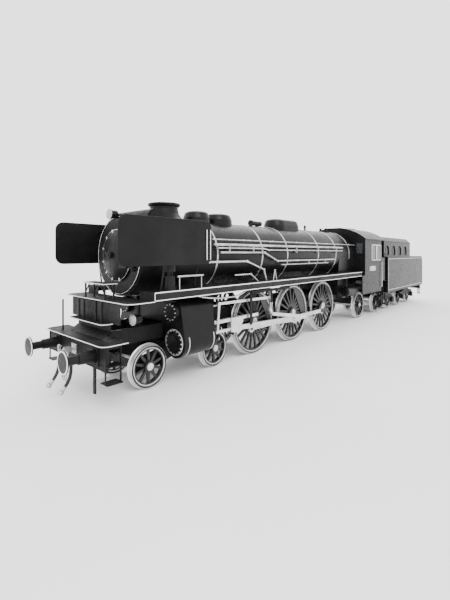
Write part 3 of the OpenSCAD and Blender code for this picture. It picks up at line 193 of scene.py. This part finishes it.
bm = bmesh.new()
beam_face = 11.41
for z in (0.875, 1.30):
    rivet_row(bm, (beam_face, -1.31, z), (beam_face, -0.25, z), 0.106, (1, 0, 0), 0.014)
    rivet_row(bm, (beam_face, 0.25, z), (beam_face, 1.31, z), 0.106, (1, 0, 0), 0.014)
for side in (-1, 1):
    for dy in (-0.15, 0.15):
        for dz in (-0.15, 0.15):
            rivet(bm, (beam_face + 0.02, side * BUFFER_Y + dy, BUFFER_Z + dz), (1, 0, 0), 0.022)
finish_piece("beam_rivets", bm, frame_black, "engine")
bm = bmesh.new()
for z in (0.875, 1.30):
    rivet_row(bm, (-beam_face, -1.31, z), (-beam_face, 1.31, z), 0.13, (-1, 0, 0), 0.014)
finish_piece("rear_beam_rivets", bm, frame_black, "tender")

# ---------------------------------------------------------------- buffers, hooks and hoses
# Forged buffers with turned heads, a draw hook with its screw coupling, and at each end two
# rubber brake hoses, which hang from elbows on the beam.
forged_black = enamel("forged_black", (0.004, 0.004, 0.004), (0.010, 0.0095, 0.009), 0.34, 0.5, 0.006)
dress(("front_buffers", "tender_drawgear"), forged_black)


def steel(name, bright, dull, low, high, stretch=(1, 1, 1), size=0.05, depth=0.0003):
    """Machined steel: a faint grain along the cut, oil film in soft clouds."""
    made, tree, shader = material(name)
    tree.links.new(blend_colours(tree, pattern(tree, 0.35, 5.0), dull, bright), shader.inputs["Base Color"])
    shader.inputs["Metallic"].default_value = 0.85
    grain = pattern(tree, size, 3.0, stretch)
    tree.links.new(between(tree, grain, low, high), shader.inputs["Roughness"])
    roughen(tree, shader, grain, depth)
    return made


worn_steel = steel("worn_steel", (0.62, 0.62, 0.62), (0.40, 0.40, 0.40), 0.3, 0.5)
dress(("front_coupling", "handrails"), worn_steel)


def turned(bm, points, centre, axis, steps=64, closed=True):
    """Spins an outline, given as radius and distance along the axis, into a turned shape."""
    axis = Vector(axis).normalized()
    across = axis.orthogonal().normalized()
    centre = Vector(centre)
    verts = [bm.verts.new(centre + across * radius + axis * along) for radius, along in points]
    pairs = zip(verts, verts[1:] + (verts[:1] if closed else []))
    edges = [bm.edges.new(pair) for pair in pairs]
    bmesh.ops.spin(bm, geom=verts + edges, cent=centre, axis=axis, angle=math.tau, steps=steps,
                   use_merge=True)


def band(bm, inner, outer, near, far, centre, axis, steps=64):
    """A flat ring with eased corners."""
    ease = min(outer - inner, far - near) * 0.25
    turned(bm, [(inner, near), (outer - ease, near), (outer, near + ease), (outer, far - ease),
                (outer - ease, far), (inner, far)], centre, axis, steps)


# White enamel, used as a painted highlight along edges and rims.
painted_highlight_white = enamel("painted_highlight_white", (0.80, 0.80, 0.79), (0.68, 0.68, 0.67), 0.35, 0.5, 0.006)
# White rings round the rims of the buffer heads: a painted highlight.
RIM_PLACE = 12.052
RIM_DEPTH = 0.0095
for which, body, near in (("front", "engine", RIM_PLACE), ("rear", "tender", -RIM_PLACE - RIM_DEPTH)):
    bm = bmesh.new()
    for side in (-1, 1):
        band(bm, 0.200, 0.2262, near, near + RIM_DEPTH, (0, side * BUFFER_Y, BUFFER_Z), (1, 0, 0))
    finish_piece(f"buffer_rims_{which}", bm, painted_highlight_white, body)

# The beams' brake hoses: rubber, hanging from the steel elbows, each with its coupling head.
rubber = enamel("hose_rubber", (0.016, 0.016, 0.016), (0.035, 0.034, 0.033), 0.55, 0.7, 0.003)


def tube(name, points, radius, finish, body, smooth_bends=False):
    """A round bar or pipe along its points."""
    curve = bpy.data.curves.new(name, "CURVE")
    curve.dimensions = "3D"
    curve.bevel_depth = radius
    curve.bevel_resolution = 4
    curve.use_fill_caps = True
    if smooth_bends:
        line = curve.splines.new("BEZIER")
        line.bezier_points.add(len(points) - 1)
        for knot, place in zip(line.bezier_points, points):
            knot.co = place
            knot.handle_left_type = knot.handle_right_type = "AUTO"
    else:
        line = curve.splines.new("POLY")
        line.points.add(len(points) - 1)
        for knot, place in zip(line.points, points):
            knot.co = (*place, 1)
    curve.materials.append(finish)
    piece = bpy.data.objects.new(name, curve)
    bpy.context.scene.collection.objects.link(piece)
    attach(piece, body)
    return piece


def side_name(side):
    return "left" if side > 0 else "right"


HOSE_ROUTE = [(11.630, 0.862), (11.628, 0.80), (11.629, 0.74), (11.634, 0.68), (11.644, 0.62),
              (11.660, 0.565), (11.682, 0.513), (11.710, 0.465), (11.742, 0.421), (11.778, 0.381)]
HEAD_OUTLINE = [(0, -0.03), (0.044, -0.03), (0.046, 0.03), (0.038, 0.05), (0.058, 0.07), (0.058, 0.12),
                (0.030, 0.14), (0, 0.14)]
for end, which, body in ((1, "front", "engine"), (-1, "rear", "tender")):
    for side in (-1, 1):
        place = f"{which}_{side_name(side)}"
        y = side * 0.30
        route = [(end * x, y, z) for x, z in HOSE_ROUTE]
        hose = tube("brake_hose_" + place, route, 0.034, rubber, body, True)
        bm = bmesh.new()
        turned(bm, HEAD_OUTLINE, route[-1], (end * 0.67, 0, -0.74), 32, False)
        coupling_head = finish_piece("hose_head_" + place, bm, worn_steel, body)

# ---------------------------------------------------------------- front platforms
# Chequered steel plates on angle supports, enamelled black, with a painted highlight in white
# along their edges.


def chequer(name):
    """Enamelled tread plate: crossed ribs in relief."""
    made, tree, shader = material(name)
    worn = blend_colours(tree, pattern(tree, 0.7, 5.0), (0.005, 0.005, 0.005), (0.015, 0.0145, 0.014))
    tree.links.new(worn, shader.inputs["Base Color"])
    shader.inputs["Specular IOR Level"].default_value = ENAMEL_GLOSS
    tree.links.new(between(tree, pattern(tree, 0.15), 0.45, 0.65), shader.inputs["Roughness"])
    place = tree.nodes.new("ShaderNodeTexCoord")
    ribs = []
    for turn in (45, -45):
        mapping = tree.nodes.new("ShaderNodeMapping")
        mapping.inputs["Rotation"].default_value = (0, 0, math.radians(turn))
        mapping.inputs["Scale"].default_value = (1, 1, 0)
        tree.links.new(place.outputs["Object"], mapping.inputs["Vector"])
        wave = tree.nodes.new("ShaderNodeTexWave")
        wave.inputs["Scale"].default_value = 9.0
        tree.links.new(mapping.outputs["Vector"], wave.inputs["Vector"])
        ribs.append(wave.outputs["Fac"])
    crossed = tree.nodes.new("ShaderNodeMath")
    crossed.operation = "MULTIPLY"
    tree.links.new(ribs[0], crossed.inputs[0])
    tree.links.new(ribs[1], crossed.inputs[1])
    roughen(tree, shader, crossed.outputs["Value"], 0.003)
    return made


tread_plate = chequer("tread_plate")
dress(("pilot_platform", "running_boards", "cab_floor"), tread_plate)


def corner(centre_x, centre_y, radius, start, end, z, steps=8):
    """Points along an arc at one height, from one angle to another in degrees."""
    points = []
    for i in range(steps + 1):
        turn = math.radians(start + (end - start) * i / steps)
        points.append((centre_x + radius * math.cos(turn), centre_y + radius * math.sin(turn), z))
    return points


def deck_edge(x0, x1, half, radius, z):
    """The front outline of a deck with rounded corners, from its right rear corner to its left."""
    return ([(x0, -half, z)] + corner(x1 - radius, radius - half, radius, -90, 0, z)
            + corner(x1 - radius, half - radius, radius, 0, 90, z) + [(x0, half, z)])


for name, outline in (
        ("edge_lower_deck", deck_edge(10.94, 11.511, 1.381, 0.181, 1.347)),
        ("edge_middle_step", deck_edge(10.94, 11.201, 0.801, 0.141, 1.658)),
        ("edge_upper_deck", deck_edge(10.342, 11.001, 1.471, 0.221, 2.128)),
        ("edge_door_step", deck_edge(10.67, 11.001, 0.521, 0.061, 2.489))):
    tube(name, outline, 0.0085, painted_highlight_white, "engine")


def ease_edges(bm, verts, offset):
    """Rounds every edge of a block that has just been made."""
    edges = {edge for vert in verts for edge in vert.link_edges}
    bmesh.ops.bevel(bm, geom=list(edges), offset=offset, segments=2, profile=0.5, material=-1,
                    affect="EDGES")


def bead(bm, low, high, ease=0.25):
    """A rolled bar or strip between two corners, its edges eased."""
    low, high = Vector(low), Vector(high)
    size = high - low
    where = Matrix.Translation((low + high) / 2) @ Matrix.Diagonal((*size, 1))
    made = bmesh.ops.create_cube(bm, size=1, matrix=where)
    ease_edges(bm, made["verts"], min(size) * ease)


# The running boards' edge angle, with a painted highlight in white along its top and bottom flanges.
bm = bmesh.new()
for side in (-1, 1):
    y0, y1 = sorted((side * 1.4695, side * 1.4765))
    bead(bm, (-1.085, y0, 2.306), (10.335, y1, 2.330))
    bead(bm, (-1.085, y0, 2.137), (10.335, y1, 2.157))
    bead(bm, (10.336, y0, 2.150), (10.350, y1, 2.328))
finish_piece("edge_running_boards", bm, painted_highlight_white, "engine")
bm = bmesh.new()
for side in (-1, 1):
    for x in [-0.9 + 0.62 * i for i in range(19)]:
        rivet(bm, (x, side * 1.4705, 2.22), (0, side, 0), 0.014)
finish_piece("board_rivets", bm, tread_plate, "engine")

# ---------------------------------------------------------------- wheels
# Cast spoked centres enamelled black, with rolled steel tyres shrunk on: the tread and flange
# are worn bright, and a bright ring on the tyre's face is a painted highlight.
FLANGE_DEPTH = 0.028
FINISH_REACH = 0.05


def wheel_finish(node_name, hub):
    """Black, with the axle's end, the worn tread and flange bright, and a painted highlight ring on the
    tyre.
    """
    corners = nodes[node_name].bound_box
    near_x, *_, far_x = sorted(corner_place[0] for corner_place in corners)
    low_z, *_, high_z = sorted(corner_place[2] for corner_place in corners)
    x, z = (near_x + far_x) / 2, (low_z + high_z) / 2
    radius = (high_z - low_z) / 2 - FLANGE_DEPTH
    reach = radius + FINISH_REACH
    made, tree, shader = material("finish_" + node_name)
    place = tree.nodes.new("ShaderNodeTexCoord")
    centred = tree.nodes.new("ShaderNodeMapping")
    centred.inputs["Location"].default_value = (-x, 0, -z)
    tree.links.new(place.outputs["Object"], centred.inputs["Vector"])
    flat = tree.nodes.new("ShaderNodeVectorMath")
    flat.operation = "MULTIPLY"
    flat.inputs[1].default_value = (1, 0, 1)
    tree.links.new(centred.outputs["Vector"], flat.inputs[0])
    length = tree.nodes.new("ShaderNodeVectorMath")
    length.operation = "LENGTH"
    tree.links.new(flat.outputs["Vector"], length.inputs[0])
    share = tree.nodes.new("ShaderNodeMath")
    share.operation = "DIVIDE"
    share.inputs[1].default_value = reach
    tree.links.new(length.outputs["Value"], share.inputs[0])
    bright = tree.nodes.new("ShaderNodeValToRGB")
    bright.color_ramp.interpolation = "CONSTANT"
    stops = bright.color_ramp.elements
    stops[0].position, stops[0].color = 0, (1, 1, 1, 1)
    stops[1].position, stops[1].color = hub / reach, (0, 0, 0, 1)
    # The ring from radius - 0.082 to - 0.060 is a painted highlight on the tyre's face; from radius - 0.013
    # out the worn tread and flange are bright.
    for edge, on in ((radius - 0.082, 1), (radius - 0.060, 0), (radius - 0.013, 1)):
        stop = stops.new(edge / reach)
        stop.color = (on, on, on, 1)
    tree.links.new(share.outputs["Value"], bright.inputs["Fac"])
    mix = tree.nodes.new("ShaderNodeMix")
    mix.data_type = "RGBA"
    tree.links.new(bright.outputs["Color"], mix.inputs["Factor"])
    cloud = pattern(tree, 0.4, 5.0)
    black = blend_colours(tree, cloud, (0.004, 0.004, 0.004), (0.011, 0.010, 0.0095))
    steel_and_highlight = blend_colours(tree, cloud, (0.72, 0.72, 0.72), (0.52, 0.52, 0.52))
    tree.links.new(black, mix.inputs["A"])
    tree.links.new(steel_and_highlight, mix.inputs["B"])
    tree.links.new(mix.outputs["Result"], shader.inputs["Base Color"])
    metal = tree.nodes.new("ShaderNodeMath")
    metal.operation = "MULTIPLY"
    metal.inputs[1].default_value = 0.6
    tree.links.new(bright.outputs["Color"], metal.inputs[0])
    tree.links.new(metal.outputs["Value"], shader.inputs["Metallic"])
    tree.links.new(between(tree, pattern(tree, 0.08), 0.32, 0.5), shader.inputs["Roughness"])
    roughen(tree, shader, pattern(tree, 0.006, 2.0), 0.0004)
    return made


AXLE_END = 0.085
DRIVING_AXLE_END = 0.11
for node_name in ("leading_wheelset_front", "leading_wheelset_rear"):
    dress((node_name,), wheel_finish(node_name, AXLE_END))
for node_name in ("driving_wheelset_front", "driving_wheelset_main", "driving_wheelset_rear"):
    dress((node_name,), wheel_finish(node_name, DRIVING_AXLE_END))
for node_name in ("trailing_wheelset", "tender_wheelset_1", "tender_wheelset_2", "tender_wheelset_3",
                  "tender_wheelset_4"):
    dress((node_name,), wheel_finish(node_name, AXLE_END))

# ---------------------------------------------------------------- rods and motion
# Forged rods, crossheads and valve gear, milled and kept bright with oil; the grain runs along
# the engine.
rod_steel = steel("rod_steel", (0.78, 0.78, 0.78), (0.58, 0.58, 0.58), 0.24, 0.42, (0.06, 1, 1), 0.01,
                  0.0002)
dress(("slide_bars", "crosshead_left", "crosshead_right", "main_rod_left", "main_rod_right",
       "coupling_rod_left", "coupling_rod_right", "valve_gear"), rod_steel)

# ---------------------------------------------------------------- cylinders
# Iron castings lagged with thin sheet that polished bands hold, closed by bolted covers front
# and back. The piston valve's chest is above each cylinder, in the same casting.
CYLINDER_Y = 1.035
CYLINDER_Z = 1.028
cladding = enamel("cladding", (0.003, 0.003, 0.0035), (0.007, 0.007, 0.007), 0.28, 0.42, 0.02, 0.0004)
dress(("cylinders", "air_reservoirs"), cladding)
bm = bmesh.new()
bright_bm = bmesh.new()
for side in (-1, 1):
    for y, z, ring, count, face in ((CYLINDER_Y, CYLINDER_Z, 0.285, 16, 9.462),
                                    (1.005, 1.758, 0.19, 12, 9.55)):
        for i in range(count):
            turn = math.tau * i / count
            nut = (face + 0.012, side * y + ring * math.cos(turn), z + ring * math.sin(turn))
            where = Matrix.Translation(nut) @ Matrix.Rotation(math.radians(90), 4, "Y")
            bmesh.ops.create_cone(bm, cap_ends=True, segments=6, radius1=0.021, radius2=0.017,
                                  depth=0.028, matrix=where)
    band(bright_bm, 0.300, 0.3225, 9.448, 9.466, (0, side * CYLINDER_Y, CYLINDER_Z), (1, 0, 0))
    band(bright_bm, 0.386, 0.391, 9.28, 9.31, (0, side * CYLINDER_Y, CYLINDER_Z), (1, 0, 0), 96)
    band(bright_bm, 0.386, 0.391, 8.45, 8.48, (0, side * CYLINDER_Y, CYLINDER_Z), (1, 0, 0), 96)
finish_piece("cylinder_nuts", bm, worn_steel, "engine", False)
finish_piece("cylinder_bands", bright_bm, worn_steel, "engine")

# A bent pipe slung under each running board, above the cylinder.
DRAIN_ROUTE = [(8.90, 2.10), (8.45, 2.03), (7.95, 2.00), (7.50, 2.02), (7.15, 2.12)]
for side in (-1, 1):
    tube("drain_pipe_" + side_name(side), [(x, side * 1.395, z) for x, z in DRAIN_ROUTE], 0.022,
         worn_steel, "engine", True)

# ---------------------------------------------------------------- smokebox and its door
# A rolled plate drum, riveted at both ends and dead black from the heat, with a pressed dished
# door held round its rim by dogs.
heat_black = enamel("heat_black", (0.003, 0.003, 0.003), (0.007, 0.007, 0.007), 0.38, 0.55, 0.008)
dress(("smokebox", "smokebox_door", "chimney", "feedwater_heater", "smoke_deflectors"), heat_black)
AXIS_Z = 3.128
SMOKEBOX_SKIN = 0.990
bm = bmesh.new()
for x in (10.26, 10.08, 7.98, 8.12):
    for i in range(72):
        turn = math.tau * (i + 0.5) / 72
        out = Vector((0, math.cos(turn), math.sin(turn)))
        rivet(bm, Vector((x, 0, AXIS_Z)) + out * SMOKEBOX_SKIN, out, 0.014)
for i in range(56):
    turn = math.tau * (i + 0.5) / 56
    rivet(bm, (10.349, 0.895 * math.cos(turn), AXIS_Z + 0.895 * math.sin(turn)), (1, 0, 0), 0.014)
finish_piece("smokebox_rivets", bm, heat_black, "engine")
# A thin white ring round the smokebox's front rim: a painted highlight.
bm = bmesh.new()
band(bm, 0.928, 0.9345, 10.344, 10.354, (0, 0, AXIS_Z), (1, 0, 0), 96)
finish_piece("smokebox_ring_edge", bm, painted_highlight_white, "engine")
bm = bmesh.new()
for i in range(12):
    turn = math.tau * (i + 0.5) / 12
    if math.cos(turn) > 0.7:  # none beside the hinge
        continue
    where = Matrix.Translation((10.390, 0, AXIS_Z)) @ Matrix.Rotation(turn, 4, "X")
    dog = where @ Matrix.Translation((0, 0.585, 0)) @ Matrix.Diagonal((0.05, 0.11, 0.045, 1))
    made = bmesh.ops.create_cube(bm, size=1, matrix=dog)
    ease_edges(bm, made["verts"], 0.009)
finish_piece("door_dogs", bm, worn_steel, "smokebox_door")
RIM_OUTLINE = [(0.612, 10.384), (0.624, 10.384), (0.624, 10.400), (0.612, 10.406)]
bm = bmesh.new()
turned(bm, RIM_OUTLINE, (0, 0, AXIS_Z), (1, 0, 0), 96)
finish_piece("door_rim", bm, worn_steel, "smokebox_door")

# ---------------------------------------------------------------- boiler lagging
# Planished sheet over the boiler, butted under polished bands that a clip draws tight. The
# cab, the domes, the pumps and the tender's plates have the same enamel.
boiler_black = enamel("boiler_black", (0.003, 0.003, 0.0035), (0.007, 0.007, 0.0075), 0.25, 0.38, 0.03,
                      0.0003)
dress(("boiler_barrel", "firebox", "domes", "pumps", "cab_walls", "cab_roof", "cab_door_left",
       "cab_door_right", "tender_tank", "coal_bunker", "water_hatch_left", "water_hatch_right",
       "headlamps"), boiler_black)


def lagging_radius(x):
    """Even over the firebox, then tapering to the smokebox."""
    rear_radius, front_radius = 1.020, 0.970
    taper_start, taper_end = 1.61, 7.90
    share = max(0, x - taper_start) / (taper_end - taper_start)
    return rear_radius + (front_radius - rear_radius) * share


bm = bmesh.new()
for x in (7.86, 5.80, 4.35, 2.15, 0.60, -0.75):
    radius = lagging_radius(x)
    band(bm, radius - 0.003, radius + 0.007, x - 0.030, x + 0.030, (0, 0, AXIS_Z), (1, 0, 0), 128)
finish_piece("boiler_bands", bm, worn_steel, "engine")
dress(("boiler_pipes",), steel("pipe_steel", (0.55, 0.55, 0.55), (0.36, 0.36, 0.36), 0.28, 0.46))
dress(("boiler_fittings", "cab_fittings"), forged_black)

# ---------------------------------------------------------------- smoke deflectors and lamps
# Thin sheets on stays, with a round bead along their edges and two stiffening strips near the
# rear one, white as a painted highlight. Three sheet-metal lamps, each with a bright rim and a domed glass.
glass, tree, shader = material("lamp_glass")
shader.inputs["Base Color"].default_value = (0.75, 0.78, 0.78, 1)
tree.links.new(between(tree, pattern(tree, 0.02), 0.05, 0.12), shader.inputs["Roughness"])
shader.inputs["Transmission Weight"].default_value = 0.55
bm = bmesh.new()
rims = bmesh.new()
LENS_OUTLINE = [(0, 0.030), (0.05, 0.026), (0.094, 0.010), (0.098, -0.004), (0, -0.004)]
for lamp in ((10.735, 1.21, 1.77), (10.735, -1.21, 1.77), (10.580, 0, 4.108)):
    turned(bm, LENS_OUTLINE, lamp, (1, 0, 0), 48, False)
    band(rims, 0.098, 0.122, -0.012, 0.014, lamp, (1, 0, 0), 48)
finish_piece("lamp_lenses", bm, glass, "engine")
finish_piece("lamp_rims", rims, worn_steel, "engine")


def sheet_edge(x0, x1, z0, z1, radius, y):
    """A rounded rectangle's outline in side view, closed on itself."""
    outline = []
    for cx, cz, start in ((x1 - radius, z1 - radius, 0), (x0 + radius, z1 - radius, 90),
                          (x0 + radius, z0 + radius, 180), (x1 - radius, z0 + radius, 270)):
        outline += [(px, y, pz) for px, pz, _ in corner(cx, cz, radius, start, start + 90, 0)]
    return outline + outline[:1]


for side in (-1, 1):
    tube("deflector_bead_" + side_name(side), sheet_edge(8.622, 11.218, 2.910, 3.956, 0.19, side * 1.457),
         0.012, heat_black, "engine")
bm = bmesh.new()
for side in (-1, 1):
    y0, y1 = sorted((side * 1.483, side * 1.4865))
    for x in (8.650, 8.770):
        bead(bm, (x + 0.002, y0, 3.010), (x + 0.024, y1, 3.756))
finish_piece("deflector_strips", bm, painted_highlight_white, "engine")

# ---------------------------------------------------------------- handrail pillars
# Turned steel pillars screwed into the lagging every 1.5 m, and one on the smokebox, each
# with a ball that the rail passes through.
BALL_OUTLINE = [(0, -0.030), (0.018, -0.028), (0.028, -0.015), (0.031, 0), (0.028, 0.015), (0.018, 0.028),
                (0, 0.030)]
bm = bmesh.new()
for side in (-1, 1):
    for x in [-0.70 + 1.5 * i for i in range(6)] + [8.05]:
        turned(bm, BALL_OUTLINE, (x, side * 1.02, 3.555), (1, 0, 0), 20, False)
finish_piece("handrail_balls", bm, worn_steel, "engine")

# ---------------------------------------------------------------- cab
# Riveted steel sheets with two windows a side, glazed in frames painted white as a painted
# highlight. Under them a blank plate with a raised border is screwed to each side.
# Near-black glass: painted shade for the dark cab behind the panes.
shaded_glass, tree, shader = material("window_glass")
shader.inputs["Base Color"].default_value = (0.045, 0.050, 0.052, 1)
tree.links.new(between(tree, pattern(tree, 0.3), 0.03, 0.08), shader.inputs["Roughness"])
shader.inputs["Transmission Weight"].default_value = 0.35
dress(("cab_window_glass",), shaded_glass)
CAB_SIDE = 1.5
SILL = 2.830
HEAD = 3.586
BAR = 0.028
bm = bmesh.new()
rivets = bmesh.new()
for side in (-1, 1):
    y0, y1 = sorted((side * 1.498, side * 1.510))
    for x0, x1 in ((-3.43, -2.88), (-2.80, -2.25)):
        bead(bm, (x0 - BAR, y0, SILL), (x0, y1, HEAD))
        bead(bm, (x1, y0, SILL), (x1 + BAR, y1, HEAD))
        bead(bm, (x0 - BAR, y0, SILL), (x1 + BAR, y1, SILL + BAR))
        bead(bm, (x0 - BAR, y0, HEAD - BAR), (x1 + BAR, y1, HEAD))
    face = side * CAB_SIDE
    rivet_row(rivets, (-3.48, face, 1.34), (-1.14, face, 1.34), 0.11, (0, side, 0))
    rivet_row(rivets, (-3.48, face, 1.40), (-3.48, face, 3.72), 0.11, (0, side, 0))
    rivet_row(rivets, (-1.45, face, 2.20), (-1.45, face, 3.72), 0.11, (0, side, 0))
    rivet_row(rivets, (-3.40, face, 3.74), (-1.50, face, 3.74), 0.11, (0, side, 0))
    rivet_row(rivets, (-3.40, face, 2.72), (-1.50, face, 2.72), 0.11, (0, side, 0))
finish_piece("window_frames", bm, painted_highlight_white, "engine")
finish_piece("cab_rivets", rivets, boiler_black, "engine")
bm = bmesh.new()
for side in (-1, 1):
    y0, y1 = sorted((side * 1.499, side * 1.507))
    bead(bm, (-2.75, y0, 2.34), (-1.95, y1, 2.56))
    y0, y1 = sorted((side * 1.507, side * 1.510))
    for low, high in (((-2.75, 2.34), (-1.95, 2.352)), ((-2.75, 2.548), (-1.95, 2.56)),
                      ((-2.75, 2.34), (-2.738, 2.56)), ((-1.962, 2.34), (-1.95, 2.56))):
        bead(bm, (low[0], y0, low[1]), (high[0], y1, high[1]))
finish_piece("blank_plates", bm, worn_steel, "engine")

# ---------------------------------------------------------------- tender
# A riveted steel water tank with a coal bunker on top. A white strip, a painted highlight, runs
# along the top and the bottom of each of its sides and up the front edge.
TANK_SIDE = 1.5
bm = bmesh.new()
rivets = bmesh.new()
for side in (-1, 1):
    y0, y1 = sorted((side * 1.4995, side * 1.5035))
    for z in (1.235, 2.865):
        bead(bm, (-10.95, y0, z), (-4.62, y1, z + 0.016))
    bead(bm, (-4.636, y0, 1.235), (-4.620, y1, 2.881))
    face = side * TANK_SIDE
    rivet_row(rivets, (-11.05, face, 1.15), (-4.58, face, 1.15), 0.105, (0, side, 0))
    rivet_row(rivets, (-11.02, face, 2.945), (-4.58, face, 2.945), 0.105, (0, side, 0))
    for x in (-9.8, -8.2, -6.6, -4.56):
        rivet_row(rivets, (x, face, 1.24), (x, face, 2.86), 0.105, (0, side, 0))
finish_piece("tank_highlight_strips", bm, painted_highlight_white, "tender")
finish_piece("tank_rivets", rivets, boiler_black, "tender")
# A rolled strip round each arched recess of the bunker's sides, and a row of rivets along their top.
BUNKER_SKIN = 1.286
RECESS_HALF = 0.28
RECESS_FOOT = 3.08
RECESS_SPRING = 3.31
bm = bmesh.new()
for side in (-1, 1):
    skin = side * BUNKER_SKIN
    for i in range(4):
        middle = -5.08 - 1.07 * i
        arch = [(middle - RECESS_HALF, skin, RECESS_FOOT), (middle - RECESS_HALF, skin, RECESS_SPRING)]
        for turn in range(15, 180, 15):
            lean = math.radians(turn)
            arch.append((middle - RECESS_HALF * math.cos(lean), skin,
                         RECESS_SPRING + RECESS_HALF * math.sin(lean)))
        arch += [(middle + RECESS_HALF, skin, RECESS_SPRING), (middle + RECESS_HALF, skin, RECESS_FOOT)]
        tube(f"bunker_arch_{side_name(side)}_{i + 1}", arch, 0.008, heat_black, "tender")
    rivet_row(bm, (-9.25, skin, 3.78), (-4.62, skin, 3.78), 0.11, (0, side, 0))
finish_piece("bunker_rivets", bm, boiler_black, "tender")
